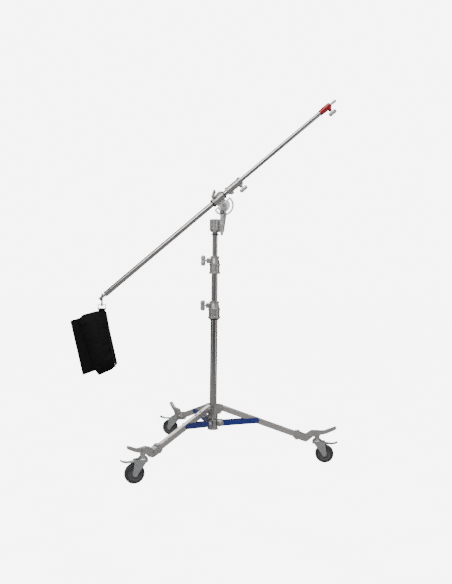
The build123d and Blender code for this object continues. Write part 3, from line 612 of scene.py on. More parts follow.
class Finish(Enum):
    """Every finish on the stand, named for what wears it."""

    MAST = Drawn("mast_tube_polished", STEEL, 0.17, Grain.UPRIGHT)
    BOOM = Drawn("boom_tube_polished", STEEL, 0.17, Grain.BOOM)
    CASTING = Cast("collar_casting", (0.43, 0.42, 0.41), 0.40, dust=0.12)
    LEG_END = Cast("leg_end_casting", (0.52, 0.51, 0.495), 0.40, dust=0.12)
    PLATE = Cast("quadrant_plate_alloy", (0.86, 0.86, 0.865), 0.45, relief=0.00002, dust=0.05)
    ZINC = Cast("zinc_plated_fork", (0.50, 0.51, 0.515), 0.36, relief=0.00002, dust=0.15)
    KNOB = Cast("knob_alloy", (0.60, 0.60, 0.605), 0.34, relief=0.00003, dust=0.06)
    BOLT = Cast("bolt_steel", (0.52, 0.52, 0.54), 0.25, relief=0.00001, dust=0.2)
    LEVER = Cast("lever_polished", (0.78, 0.78, 0.785), 0.28, relief=0.000008, dust=0.03)
    BLUE_PAINT = Coated("brace_blue_paint", (0.002, 0.014, 0.19), 0.34, coat=0.12, chips=0.25)
    RED_ANODISED = Coated("tip_red_anodised", (0.30, 0.010, 0.016), 0.34, metallic=0.5, coat=0.1, chips=0.25)
    BLACK_RUBBER = Moulded("black_rubber", (0.012, 0.012, 0.013), 0.6, dust=0.12)
    NAVY_NYLON = Moulded("lever_washer_nylon", (0.006, 0.006, 0.03), 0.4, dust=0.05)
    BLACK_PLASTIC = Moulded("black_plastic", (0.02, 0.02, 0.021), 0.45, dust=0.1)
    TYRE = Moulded("tyre_rubber", (0.030, 0.030, 0.032), 0.62, dust=0.22)
    CORE = Moulded("wheel_core_plastic", (0.085, 0.085, 0.09), 0.45, dust=0.2)
    HOOK = Cast("snap_hook_plated", (0.36, 0.355, 0.35), 0.3, relief=0.00001, dust=0.1)
    COATED_NYLON = Woven("bag_coated_nylon", (0.0062, 0.0062, 0.0067), 1300.0, 0.00018, 0.8, 0.0, 0.05)
    WEBBING = Woven("bag_webbing", (0.0025, 0.0025, 0.0028), 700.0, 0.0003, 0.8, 0.0, 0.05)
    THREAD = Moulded("stitch_thread", (0.012, 0.012, 0.013), 0.7, dust=0.05)
    LEG_1 = Drawn("leg_tube_1_satin", SATIN, 0.33, Grain.LEG_1, dust=0.1)
    LEG_2 = Drawn("leg_tube_2_satin", SATIN, 0.33, Grain.LEG_2, dust=0.1)
    LEG_3 = Drawn("leg_tube_3_satin", SATIN, 0.33, Grain.LEG_3, dust=0.1)


LEG_FINISHES = (Finish.LEG_1, Finish.LEG_2, Finish.LEG_3)


class Palette:
    """The stand's materials, each made when first asked for."""

    def __init__(self) -> None:
        """Starts with none."""
        self._made: dict[Finish, bpy.types.Material] = {}

    def __getitem__(self, finish: Finish) -> bpy.types.Material:
        """The material of one finish.

        Args:
            finish: which one.

        Returns:
            Its material.
        """
        if finish not in self._made:
            self._made[finish] = finish.value.make()
        return self._made[finish]


PALETTE = Palette()


def dress(node: str, finish: Finish) -> None:
    """Gives a CAD node its finish.

    Args:
        node: the node's name.
        finish: its finish.
    """
    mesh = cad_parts[node].data
    mesh.materials.clear()
    mesh.materials.append(PALETTE[finish])
    LOG.info("dressed %s as %s", node, finish.name)


# ---------------------------------------------------------------------------------------
# Surfaces
# ---------------------------------------------------------------------------------------
WELD = 1e-7


class Shell:
    """Closed skins of one piece, gathered from grids of points."""

    def __init__(self) -> None:
        """Starts with nothing in it."""
        self._points: list[np.ndarray] = []
        self._faces: list[list[int]] = []
        self._count = 0

    def _add(self, points: np.ndarray) -> int:
        """Keeps some points.

        Args:
            points: the points, in any shape that ends with the three axes.

        Returns:
            The first one's number.
        """
        first = self._count
        self._points.append(points.reshape(-1, 3))
        self._count += self._points[-1].shape[0]
        return first

    def _band(self, low: np.ndarray, high: np.ndarray) -> None:
        """Joins two rings of point numbers with quads."""
        quads = np.stack([low, np.roll(low, -1), np.roll(high, -1), high], axis=1)
        self._faces += quads.tolist()

    def tube(self, rings: np.ndarray) -> None:
        """Adds a skin through rings of points, with each end drawn to its middle.

        Args:
            rings: points by ring, then around it, then along each axis.
        """
        rows, around, _ = rings.shape
        first = self._add(rings)
        numbers = first + np.arange(rows * around).reshape(rows, around)
        for row in range(rows - 1):
            self._band(numbers[row], numbers[row + 1])
        for ring, points in ((numbers[0][::-1], rings[0]), (numbers[-1], rings[-1])):
            pole = self._add(points.mean(axis=0))
            fan = np.stack([ring, np.roll(ring, -1), np.full(around, pole)], axis=1)
            self._faces += fan.tolist()

    def loop(self, rings: np.ndarray) -> None:
        """Adds a skin through rings of points whose last ring joins its first.

        Args:
            rings: points by ring, then around it, then along each axis.
        """
        rows, around, _ = rings.shape
        first = self._add(rings)
        numbers = first + np.arange(rows * around).reshape(rows, around)
        for row in range(rows):
            self._band(numbers[row], numbers[(row + 1) % rows])

    def mesh(self, name: str) -> bpy.types.Mesh:
        """Makes the mesh, with every face turned outward.

        Args:
            name: the mesh's name.

        Returns:
            The mesh, shaded smooth, with a map of metres named Cloth.
        """
        made = bpy.data.meshes.new(name)
        made.from_pydata(np.concatenate(self._points).tolist(), [], self._faces)
        tidy(made)
        return made

    def piece(self, name: str, finish: Finish, body: str, slot: str, *stands_for: str) -> bpy.types.Object:
        """Makes the object that stands for CAD nodes or rides with a body.

        Args:
            name: the object's name.
            finish: its finish.
            body: the CAD body that carries it.
            slot: the record's material slot; not used.
            stands_for: the CAD nodes that it replaces.

        Returns:
            The new object.
        """
        return placed(self.mesh(name), name, finish, body, slot, *stands_for)


def read(items: bpy.types.bpy_prop_collection, field: str, width: int, kind: type = float) -> np.ndarray:
    """One property of many mesh elements.

    Args:
        items: the mesh's points, corners or faces.
        field: the property's name.
        width: how many numbers it has.
        kind: whether they are float or int.

    Returns:
        An array with a row for each element.
    """
    flat = np.empty(len(items) * width, np.float32 if kind is float else np.int32)
    items.foreach_get(field, flat)
    return flat.reshape(-1, width)


def tidy(mesh: bpy.types.Mesh) -> None:
    """Welds doubled points, turns faces outward, shades smooth and maps the cloth in metres.

    The map takes X and Z on faces that look along Y, and Y and Z on the rest.

    Args:
        mesh: the mesh to finish.
    """
    work = bmesh.new()
    work.from_mesh(mesh)
    bmesh.ops.remove_doubles(work, verts=work.verts, dist=WELD)
    bmesh.ops.recalc_face_normals(work, faces=work.faces)
    work.to_mesh(mesh)
    work.free()
    mesh.shade_smooth()
    normals = read(mesh.polygons, "normal", 3)
    flat = np.repeat(np.abs(normals[:, 1]) > 0.5, read(mesh.polygons, "loop_total", 1, int)[:, 0])
    corners = read(mesh.vertices, "co", 3)[read(mesh.loops, "vertex_index", 1, int)[:, 0]]
    cloth = np.stack([np.where(flat, corners[:, 0], corners[:, 1]), corners[:, 2]], axis=1)
    mesh.uv_layers.new(name="Cloth").data.foreach_set("uv", cloth.ravel())


def placed(mesh: bpy.types.Mesh, name: str, finish: Finish, body: str, slot: str,
           *stands_for: str) -> bpy.types.Object:
    """Puts a mesh in the scene as a piece of the stand.

    Args:
        mesh: its surface, in the frame's own coordinates.
        name: the object's name.
        finish: its finish.
        body: the CAD body that carries it.
        slot: the record's material slot; not used.
        stands_for: the CAD nodes that it replaces.

    Returns:
        The new object.
    """
    mesh.materials.clear()
    mesh.materials.append(PALETTE[finish])
    made = bpy.data.objects.new(name, mesh)
    bpy.context.scene.collection.objects.link(made)
    if stands_for:
        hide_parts(*stands_for)
    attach(made, body)
    LOG.info("made %s", name)
    return made


def softened(corners: object, radius: float, steps: int = 5, closed: bool = True) -> np.ndarray:
    """A path with each corner cut by a parabola that starts and ends a radius away from it.

    Args:
        corners: the path's corners.
        radius: how far from a corner its curve starts.
        steps: points on each curve.
        closed: whether the last corner joins the first.

    Returns:
        The path's points.
    """
    path = np.asarray(corners, float)
    t = np.linspace(0.0, 1.0, steps)[:, None]
    out = []
    for before, here, after in zip(np.roll(path, 1, axis=0), path, np.roll(path, -1, axis=0)):
        cuts = []
        for other in (before, after):
            step = other - here
            cuts.append(here + step * min(0.48, radius / max(np.linalg.norm(step), 1e-12)))
        out.append((1 - t) ** 2 * cuts[0] + 2 * t * (1 - t) * here + t ** 2 * cuts[1])
    if not closed:
        out[0], out[-1] = path[:1], path[-1:]
    return np.concatenate(out)


def oval(across: np.ndarray, deep: np.ndarray, power: float = 2.6, count: int = 24) -> np.ndarray:
    """A superellipse: each coordinate is a half size times a signed power of the angle's cosine or sine.

    Args:
        across: one half axis, as a vector.
        deep: the other half axis.
        power: 2 is an ellipse, and more is squarer.
        count: points around.

    Returns:
        The points, about the origin.
    """
    angle = np.linspace(0.0, 2 * math.pi, count, endpoint=False)
    c, s = np.cos(angle), np.sin(angle)
    first = np.sign(c) * np.abs(c) ** (2 / power)
    second = np.sign(s) * np.abs(s) ** (2 / power)
    return first[:, None] * across + second[:, None] * deep


def spun(profile: np.ndarray, centre: np.ndarray, axis: np.ndarray, side: np.ndarray,
         count: int = 64) -> np.ndarray:
    """Rings of a turned shape.

    Args:
        profile: radius and distance along the axis, in metres, row by row.
        centre: where the axis starts.
        axis: its unit direction.
        side: a unit direction across it.
        count: points around.

    Returns:
        The points by profile row, then around.
    """
    other = np.cross(axis, side)
    angle = np.linspace(0.0, 2 * math.pi, count, endpoint=False)[None, :, None]
    around = np.cos(angle) * side + np.sin(angle) * other
    return centre + profile[:, :1, None] * around + profile[:, 1:, None] * axis


def slab(outline: np.ndarray, origin: np.ndarray, axes: tuple, near: float, far: float,
         bevel: float = 0.6) -> np.ndarray:
    """Rings of a plate with eased edges, between two depths, in millimetres.

    Args:
        outline: its corners along the first two axes, already softened.
        origin: where the outline is measured from, in metres.
        axes: unit directions across, up and through the plate.
        near: where it starts along the third axis.
        far: where it ends.
        bevel: how far its edges are eased.

    Returns:
        The points by ring, then around.
    """
    middle = outline.mean(axis=0)
    small = middle + (outline - middle) * (1.0 - bevel / np.abs(outline - middle).max())
    way = math.copysign(bevel, far - near)
    rings = [(small, near), (outline, near + way), (outline, far - way), (small, far)]
    return np.array([
        origin + MM * (flat[:, :1] * axes[0] + flat[:, 1:] * axes[1] + depth * axes[2]) for flat, depth in rings
    ])


# ---------------------------------------------------------------------------------------
# Sub-assemblies
# ---------------------------------------------------------------------------------------
@dataclass
class Clevis:
    """Cheeks and bolt heads where the braces meet the lower hub, and the hub's two flanges.

    Radii and heights are in millimetres.
    """

    cheek: tuple = (
        (24.0, 180.0), (44.0, 180.0), (61.0, 188.0), (64.0, 198.0), (58.0, 213.0), (42.0, 216.0), (24.0, 216.0),
    )
    near: float = 16.5
    far: float = 19.5
    pivot: tuple = (45.0, 197.0)
    head: float = 8.5
    head_sunk: float = 0.4
    flanges: tuple = ((160.0, 168.0, 30.0), (207.0, 216.4, 29.0))
    bore: float = 21.0

    def build(self) -> None:
        """Adds the hardware to the base body: slabs of an outline, turned domes and turned rings."""
        cheeks, heads, rings = Shell(), Shell(), Shell()
        outline = softened(self.cheek, 5.0)
        for azimuth in LEG_AZIMUTHS:
            out = np.array([math.cos(azimuth), math.sin(azimuth), 0.0])
            side = np.cross(Z_AXIS, out)
            for way in (-1.0, 1.0):
                cheeks.tube(slab(outline, np.zeros(3), (out, Z_AXIS, side * way), self.near, self.far))
                place = self.pivot[0] * out + self.pivot[1] * Z_AXIS + side * way * (self.far - self.head_sunk)
                dome = np.array([
                    (0.0, 0.0), (self.head, 0.0), (self.head, 2.4), (self.head - 1.2, 3.8), (3.0, 4.6),
                    (2.6, 3.9), (0.0, 3.8),
                ])
                profile = softened(dome, 0.4, closed=False)[1:-1]
                heads.tube(spun(profile * MM, place * MM, side * way, Z_AXIS, 32))
        for low, high, radius in self.flanges:
            ring = softened([(self.bore, low), (radius, low), (radius, high), (self.bore, high)], 1.4)
            rings.loop(spun(ring * MM, np.zeros(3), Z_AXIS, X_AXIS, 96))
        cheeks.piece("lower_hub_cheeks", Finish.CASTING, "base", "cast_alloy")
        heads.piece("lower_hub_bolt_heads", Finish.BOLT, "base", "bolt_steel")
        rings.piece("lower_hub_flanges", Finish.CASTING, "base", "cast_alloy")


@dataclass
class LeverHub:
    """Dark washer and bright screw at the tilt lever's hub, in millimetres."""

    centre: tuple = (36.89, -33.6, 1372.28)
    ring: tuple = ((5.2, 0.0), (11.5, 0.0), (11.5, 1.8), (5.2, 1.8))
    dome: tuple = ((0.0, 0.0), (4.8, 0.0), (4.8, 2.2), (3.2, 3.2), (0.0, 3.4))

    def build(self) -> None:
        """Adds both to the lever's body, each a profile turned about the lever's axis."""
        place = np.array(self.centre) * MM
        washer, screw = Shell(), Shell()
        washer.loop(spun(softened(self.ring, 0.6) * MM, place, -Y_AXIS, Z_AXIS, 48))
        dome = softened(self.dome, 0.5, closed=False)
        screw.tube(spun(dome[1:-1] * MM, place, -Y_AXIS, Z_AXIS, 32))
        washer.piece("tilt_lever_washer", Finish.NAVY_NYLON, "tilt_lever", "black_plastic")
        screw.piece("tilt_lever_screw", Finish.BOLT, "tilt_lever", "bolt_steel")


@dataclass
class Knob:
    """T-handled clamp screw: a collar, a thin neck and a dog-bone crossbar.

    Its directions point out of the clamp and along the crossbar, and lengths are in millimetres.
    """

    node: str
    seat: np.ndarray
    axis: np.ndarray
    wing: np.ndarray
    screw: float
    length: float = 60.0
    reach: float = 32.0
    screw_radius: float = 4.0
    foot_radius: float = 7.0
    foot: float = 1.6
    half_thick: float = 5.0
    rows: int = 64

    def build(self) -> None:
        """Stands for the CAD node of the same name.

        The crossbar is an oval carried along the wing. Its half sizes fall to nothing at the ends as a
        superellipse of the distance from the middle, and a Gaussian notch thins them at the middle.
        """
        shell = Shell()
        side = np.cross(self.wing, self.axis)
        low, deep = 0.2 * self.reach, 0.42 * self.reach
        neck = softened(np.array([
            (0.0, -self.screw), (self.screw_radius, -self.screw), (self.screw_radius, 0.0),
            (self.foot_radius, 0.0), (self.foot_radius, self.foot),
            (4.2, low * 0.6), (6.5, low * 1.5), (0.0, low * 2.2),
        ]), 0.7, closed=False)[1:-1]
        shell.tube(spun(neck * MM, self.seat, self.axis, side, 40))
        t = np.sin(np.linspace(-1.0, 1.0, self.rows) * math.pi / 2)
        fade = np.maximum(1.0 - np.abs(t) ** 7, 0.0) ** (1 / 2.4)
        notch = np.exp(-(t / 0.2) ** 2)
        half = deep * fade * (1.0 - 0.12 * notch)
        thick = self.half_thick * np.maximum(1.0 - np.abs(t) ** 9, 0.0) ** 0.5 * (1.0 - 0.1 * notch)
        middle = self.reach - deep
        rings = [
            self.seat + MM * (along * self.length / 2 * self.wing + middle * self.axis)
            + oval(a * MM * self.axis, b * MM * side, 3.2, 32)
            for along, a, b in zip(t, half, thick)
        ]
        shell.tube(np.array(rings))
        shell.piece(f"{self.node}_cast", Finish.KNOB, self.node, "knob_alloy", self.node)


@dataclass
class Wheel:
    """One caster's tyre and core, turned about its axle.

    Lengths are in millimetres, and a section's points are a radius and a place along the axle.
    """

    number: int
    azimuth: float
    heading: float
    stem: float = 578.0
    trail: float = 40.0
    radius: float = 50.0
    tyre: tuple = (
        (35.0, -13.5), (39.0, -15.0), (44.5, -14.6), (48.6, -11.0), (49.9, -5.5), (50.0, 0.0), (49.9, 5.5),
        (48.6, 11.0), (44.5, 14.6), (39.0, 15.0), (35.0, 13.5),
    )
    core: tuple = (
        (5.2, -14.8), (11.0, -14.8), (14.0, -12.0), (17.0, -9.5), (28.0, -9.5), (30.5, -12.8), (34.6, -13.6),
        (34.8, 0.0), (34.6, 13.6), (30.5, 12.8), (28.0, 9.5), (17.0, 9.5), (14.0, 12.0), (11.0, 14.8),
        (5.2, 14.8),
    )

    def build(self) -> None:
        """Stands for the tyre's and the core's CAD nodes: each is its softened section, turned."""
        out = np.array([math.cos(self.heading), math.sin(self.heading), 0.0])
        centre = MM * (self.stem * np.array([math.cos(self.azimuth), math.sin(self.azimuth), 0.0])
                       + self.trail * out + self.radius * Z_AXIS)
        axle = np.array([-math.sin(self.heading), math.cos(self.heading), 0.0])
        for name, section, finish, slot in (
            ("caster_tyre", softened(self.tyre, 2.0), Finish.TYRE, "grey_tyre"),
            ("caster_core", softened(self.core, 1.2), Finish.CORE, "grey_core"),
        ):
            shell = Shell()
            shell.loop(spun(section * MM, centre, axle, Z_AXIS, 128))
            node = f"{name}_{self.number}"
            shell.piece(f"{node}_turned", finish, f"wheel_{self.number}", slot, node)


@dataclass
class Pouch:
    """One sand-filled pouch of the saddle bag, hung flat from the strap.

    The outline is measured from the hook's pin, in millimetres, and side is -1 for the front.
    """

    node: str
    corners: tuple
    side: int
    seam: tuple | None = None
    seam_end: float = 25.0
    inner: float = 3.5
    inset: float = 5.5
    sewn: float = 3.0
    top: float = 22.0
    low: float = 46.0
    tape: float = 5.5
    tape_inset: float = 5.9
    tape_thick: float = 1.3
    tape_lift: float = 1.3
    thread_inset: float = 3.2
    thread_lift: float = 2.75
    rim_points: int = 420
    voxel: float = 0.005
    frames: int = 20
    travel: float = 0.016

    def rim(self, inset: float, count: int = 240, bell: float = 3.0) -> np.ndarray:
        """The outline walked evenly, smoothed by a Gaussian and moved inward.

        Args:
            inset: how far inward, in millimetres.
            count: points around.
            bell: the Gaussian's width along the outline, in millimetres.

        Returns:
            The points across and up, in metres from the hook's pin.
        """
        path = np.asarray(self.corners, float)
        path = np.vstack([path, path[:1]])
        walk = np.concatenate([[0.0], np.cumsum(np.hypot(*np.diff(path, axis=0).T))])
        at = np.linspace(0.0, walk[-1], count, endpoint=False)
        even = np.stack([np.interp(at, walk, path[:, k]) for k in (0, 1)], axis=1)
        keep = np.exp(-2.0 * (math.pi * np.fft.fftfreq(count, d=walk[-1] / count) * bell) ** 2)
        even = np.real(np.fft.ifft(np.fft.fft(even, axis=0) * keep[:, None], axis=0))
        step = np.roll(even, -1, axis=0) - np.roll(even, 1, axis=0)
        normal = np.stack([step[:, 1], -step[:, 0]], axis=1) / np.hypot(*step.T)[:, None]
        area = np.sum(even[:, 0] * np.roll(even[:, 1], -1) - np.roll(even[:, 0], -1) * even[:, 1])
        return (even - normal * inset * np.sign(area)) * MM

    def at(self, flat: np.ndarray, depth: object) -> np.ndarray:
        """Points in the frame, from points across and up and a depth towards the pouch's side."""
        depth = np.broadcast_to(np.asarray(depth, float), flat.shape[:-1])
        return HOOK_PIN + np.stack([flat[..., 0], self.side * depth, flat[..., 1]], axis=-1)

    def _pillow(self, rings: int = 26) -> bpy.types.Object:
        """A full pouch: the depth is a superellipse of the distance from the middle, deeper low down.

        Args:
            rings: how many times the rim is repeated towards the middle.

        Returns:
            The object, before its cloth has settled.
        """
        rim = self.rim(self.inset)
        centre = rim.mean(axis=0)
        share = np.cos(np.linspace(0.0, math.pi / 2, rings, endpoint=False)) ** 0.5
        plan = centre + (rim - centre) * share[:, None, None]
        fall = np.clip((rim[:, 1].max() - plan[..., 1]) / np.ptp(rim[:, 1]), 0.0, 1.0)
        full = (self.top + (self.low - self.top) * np.sin(fall * math.pi * 0.62)) * MM
        face = self.at(plan, self.inner * MM + full * (1.0 - share[:, None] ** 3.5) ** 0.55)
        back = self.at(plan, self.inner * MM)
        shell = Shell()
        shell.tube(np.concatenate([back[:0:-1], face]))
        made = bpy.data.objects.new(f"{self.node}_start", shell.mesh(f"{self.node}_start"))
        bpy.context.scene.collection.objects.link(made)
        return made

    def _settled(self) -> bpy.types.Mesh:
        """The pillow after a short cloth run that wrinkles it against its seams.

        Returns:
            Its mesh, in the frame.
        """
        made = self._pillow()
        cells = made.modifiers.new("cells", "REMESH")
        cells.mode, cells.voxel_size = "VOXEL", self.voxel
        made.data = self._baked(made)
        points = self._points(made.data)
        sewn = made.vertex_groups.new(name="sewn")
        inner = np.flatnonzero(points[:, 1] * self.side < (self.inner + self.sewn) * MM)
        sewn.add(inner.tolist(), 1.0, "REPLACE")
        cloth = made.modifiers.new("cloth", "CLOTH")
        rules = cloth.settings
        rules.quality, rules.mass = 5, 0.3
        rules.tension_stiffness = rules.compression_stiffness = 15.0
        rules.shear_stiffness, rules.bending_stiffness = 5.0, 0.5
        rules.use_pressure, rules.uniform_pressure_force, rules.shrink_min = True, 4.0, -0.05
        rules.vertex_group_mass = "sewn"
        rules.effector_weights.gravity = 0.0
        cloth.point_cache.frame_end = self.frames
        for number in range(1, self.frames + 1):
            bpy.context.scene.frame_set(number)
        moved = self._points(self._baked(made)) - points
        reach = np.linalg.norm(moved, axis=1, keepdims=True)
        points += moved * np.minimum(1.0, self.travel / np.maximum(reach, 1e-9))
        points -= self._dart(points) * self.side * Y_AXIS
        points[:, 1] = self.side * np.maximum(self.side * points[:, 1], self.inner * MM)
        made.data.vertices.foreach_set("co", points.ravel())
        made.data.update()
        fine = made.modifiers.new("fine", "SUBSURF")
        fine.levels = fine.render_levels = 1
        mesh = self._baked(made)
        bpy.data.objects.remove(made)
        bpy.context.scene.frame_set(1)
        return mesh

    def _dart(self, points: np.ndarray, depth: float = 5.0, width: float = 7.0) -> np.ndarray:
        """How far the seam down the face draws each point in: a bell across the seam's line.

        Args:
            points: the pouch's points.
            depth: how deep the seam is at its middle, in millimetres.
            width: how wide the bell is, in millimetres.

        Returns:
            One distance for each point, in metres.
        """
        if self.seam is None:
            return np.zeros((len(points), 1))
        start, end = (np.array(p, float) for p in self.seam)
        flat = (points[:, [0, 2]] - HOOK_PIN[[0, 2]]) / MM
        along = (end - start) / np.linalg.norm(end - start)
        t = (flat - start) @ along
        off = (flat - start) @ np.array([-along[1], along[0]])
        left = np.linalg.norm(end - start) - t
        ends = np.clip(t / self.seam_end, 0, 1) * np.clip(left / self.seam_end, 0, 1)
        outer = self.side * points[:, 1] > 0.4 * self.top * MM
        return (depth * MM * np.exp(-(off / width) ** 2) * ends * outer)[:, None]

    @staticmethod
    def _baked(made: bpy.types.Object) -> bpy.types.Mesh:
        """The object's mesh with its modifiers worked in.

        Args:
            made: the object, which loses its modifiers.

        Returns:
            The new mesh.
        """
        seen = made.evaluated_get(bpy.context.evaluated_depsgraph_get())
        mesh = bpy.data.meshes.new_from_object(seen)
        made.modifiers.clear()
        return mesh

    @staticmethod
    def _points(mesh: bpy.types.Mesh) -> np.ndarray:
        """The mesh's points, one row each, in double precision."""
        return read(mesh.vertices, "co", 3).astype(float)

    def _wave(self, count: int, above: float) -> np.ndarray:
        """The tape's depth around the rim: a mean and two sine waves, in metres.

        Args:
            count: points around.
            above: how far the mean stands above the pouch's inner side, in millimetres.

        Returns:
            One depth for each point.
        """
        turn = np.linspace(0.0, 2 * math.pi, count, endpoint=False)
        return (self.inner + above + 0.35 * np.sin(9 * turn) + 0.2 * np.sin(23 * turn + 1)) * MM

    def _binding(self) -> None:
        """Tape folded over the rim: an oval swept along the outline, rising and falling a little."""
        path = self.rim(self.tape_inset, self.rim_points)
        step = np.roll(path, -1, axis=0) - np.roll(path, 1, axis=0)
        step /= np.hypot(*step.T)[:, None]
        middle = self.at(path, self._wave(len(path), self.tape_lift))
        out = np.stack([step[:, 1], np.zeros(len(path)), -step[:, 0]], axis=1)
        rings = [m + oval(o * self.tape * MM, Y_AXIS * self.tape_thick * MM, 3.2, 16)
                 for m, o in zip(middle, out)]
        shell = Shell()
        shell.loop(np.array(rings))
        shell.piece(f"{self.node}_binding", Finish.WEBBING, "sandbag", "bag_fabric")

    def _stitches(self, pitch: float = 4.2, long: float = 1.4) -> None:
        """A row of short threads on the tape, each a round swept along the rim.

        Args:
            pitch: from one thread to the next, in millimetres.
            long: half a thread's length, in millimetres.
        """
        path = self.rim(self.thread_inset, self.rim_points)
        walk = np.concatenate([[0.0], np.cumsum(np.hypot(*np.diff(path, axis=0).T))])
        lift = self._wave(len(path), self.thread_lift)
        shell = Shell()
        for start in np.arange(0.0, walk[-1] - pitch * MM, pitch * MM):
            spots = np.clip(start + np.array([0.0, 0.3, 1.0, 1.7, 2.0]) * long * MM, 0, walk[-1])
            flat = np.stack([np.interp(spots, walk, path[:, k]) for k in (0, 1)], axis=1)
            line = self.at(flat, np.interp(spots, walk, lift))
            along = (line[-1] - line[0]) / max(np.linalg.norm(line[-1] - line[0]), 1e-9)
            across = np.cross(along, Y_AXIS)
            thick = np.array([0.12, 0.34, 0.42, 0.34, 0.12]) * MM
            shell.tube(np.array([p + oval(across * r, Y_AXIS * r, 2.0, 6) for p, r in zip(line, thick)]))
        shell.piece(f"{self.node}_stitches", Finish.THREAD, "sandbag", "bag_fabric")

    def build(self) -> BVHTree:
        """Makes the pouch and its rim.

        Returns:
            The pouch's surface, for pieces laid on it.
        """
        mesh = self._settled()
        tidy(mesh)
        pouch = placed(mesh, f"{self.node}_pouch", Finish.COATED_NYLON, "sandbag", "bag_fabric", self.node)
        self._binding()
        self._stitches()
        return BVHTree.FromPolygons([v.co for v in mesh.vertices], [p.vertices for p in mesh.polygons])


@dataclass
class Zip:
    """Coil zip laid down a pouch's face, with a metal slider and tab.

    Its ends are measured from the hook's pin, and lengths are in millimetres. A tooth's and the
    slider's sizes are halves: across, along and out, and along, across and out. The tab's are its
    length, half width and half thickness.
    """

    start: tuple = (36.0, -176.0)
    end: tuple = (78.0, -372.0)
    spots: int = 90
    margin: float = 3.0
    pitch: float = 2.4
    tape: float = 6.0
    tape_thick: float = 0.9
    tape_lift: float = 0.6
    tooth: tuple = (1.7, 0.5, 0.6)
    tooth_lift: float = 1.9
    tooth_aside: float = 0.5
    slider: tuple = (5.5, 4.2, 1.9)
    slider_lift: float = 2.6
    tab: tuple = (22.0, 3.4, 0.7)
    tab_lift: float = 5.2

    def build(self, surface: BVHTree) -> None:
        """Lays the tapes, teeth and slider on the front pouch.

        Args:
            surface: the pouch's skin.
        """
        line, along, across, out = self._laid(surface)
        tapes = Shell()
        tapes.tube(np.array([
            p + self.tape_lift * MM * o + oval(a * self.tape * MM, o * self.tape_thick * MM, 3.0, 16)
            for p, a, o in zip(line, across, out)
        ]))
        tapes.piece("zip_tape", Finish.WEBBING, "sandbag", "bag_fabric")
        self._teeth(line, along, across, out)
        self._slider(line[-3], along[-3], across[-3], out[-3])

    def _laid(self, surface: BVHTree) -> tuple[np.ndarray, np.ndarray, np.ndarray, np.ndarray]:
        """The zip's line, dropped on the pouch and smoothed by a running mean.

        Args:
            surface: the pouch's skin.

        Returns:
            The points, and the unit directions along, across and out at each.
        """
        line, normals = [], []
        for across, up in np.linspace(self.start, self.end, self.spots):
            seen, normal, _, _ = surface.ray_cast(
                Vector((HOOK_PIN[0] + across * MM, -0.5, HOOK_PIN[2] + up * MM)), Vector((0, 1, 0)))
            line.append(np.array(seen))
            normals.append(np.array(normal))
        line, normals = np.array(line), np.array(normals)
        bell = np.ones(9) / 9
        line[4:-4] = np.stack([np.convolve(line[:, k], bell, "valid") for k in range(3)], axis=1)
        along = np.gradient(line, axis=0)
        along /= np.linalg.norm(along, axis=1)[:, None]
        across = np.cross(along, np.mean(normals, axis=0))
        across /= np.linalg.norm(across, axis=1)[:, None]
        return line, along, across, np.cross(across, along)

    def _teeth(self, line: np.ndarray, along: np.ndarray, across: np.ndarray, out: np.ndarray) -> None:
        """Two rows of small ovals, half a pitch apart.

        Args:
            line: the zip's points.
            along: the direction along it at each.
            across: the direction across it at each.
            out: the direction off the pouch at each.
        """
        walk = np.concatenate([[0.0], np.cumsum(np.linalg.norm(np.diff(line, axis=0), axis=1))])
        wide, long, high = self.tooth
        teeth = Shell()
        for place in np.arange(self.margin * MM, walk[-1] - self.margin * MM, self.pitch * MM):
            p, a, o, d = (np.array([np.interp(place, walk, v[:, k]) for k in range(3)])
                          for v in (line, across, out, along))
            for share in (-1, 1):
                middle = (p + self.tooth_lift * MM * o + a * share * self.tooth_aside * MM
                          + d * share * 0.25 * self.pitch * MM)
                rows = [middle + a * s * wide * MM + oval(d * long * MM * w, o * high * MM * w, 3.0, 8)
                        for s, w in ((-1, 0.4), (-0.8, 1), (0.8, 1), (1, 0.4))]
                teeth.tube(np.array(rows))
        teeth.piece("zip_teeth", Finish.BLACK_PLASTIC, "sandbag", "bag_fabric")

    def _slider(self, place: np.ndarray, along: np.ndarray, across: np.ndarray, out: np.ndarray) -> None:
        """A domed slider, with a tab that hangs from it: ovals whose sizes fall off as powers of the way.

        Args:
            place: where it sits on the zip's line.
            along: the direction along the zip there.
            across: the direction across it.
            out: the direction off the pouch.
        """
        shell = Shell()
        spans = np.linspace(-1.0, 1.0, 14)
        long, wide, high = self.slider
        body = []
        for t in spans:
            size = max(0.05, 1 - t ** 4)
            middle = place + self.slider_lift * MM * out + along * long * MM * t
            body.append(middle + oval(across * wide * MM * size, out * high * MM * size, 3.0, 20))
        shell.tube(np.array(body))
        drop = -Z_AXIS * 0.97 - Y_AXIS * 0.06
        drop = drop / np.linalg.norm(drop)
        aside = np.cross(drop, Y_AXIS)
        aside /= np.linalg.norm(aside)
        flat = np.cross(aside, drop)
        top = place + self.tab_lift * MM * out
        long, width, thick = self.tab
        rows = []
        for t in spans:
            half_wide = aside * width * MM * max(0.08, 1 - abs(t) ** 6)
            half_thick = flat * thick * MM * max(0.1, 1 - abs(t) ** 8)
            rows.append(top + drop * MM * (long * (t + 1) / 2) + oval(half_wide, half_thick, 2.6, 20))
        shell.tube(np.array(rows))
        shell.piece("zip_slider", Finish.BOLT, "sandbag", "bolt_steel")


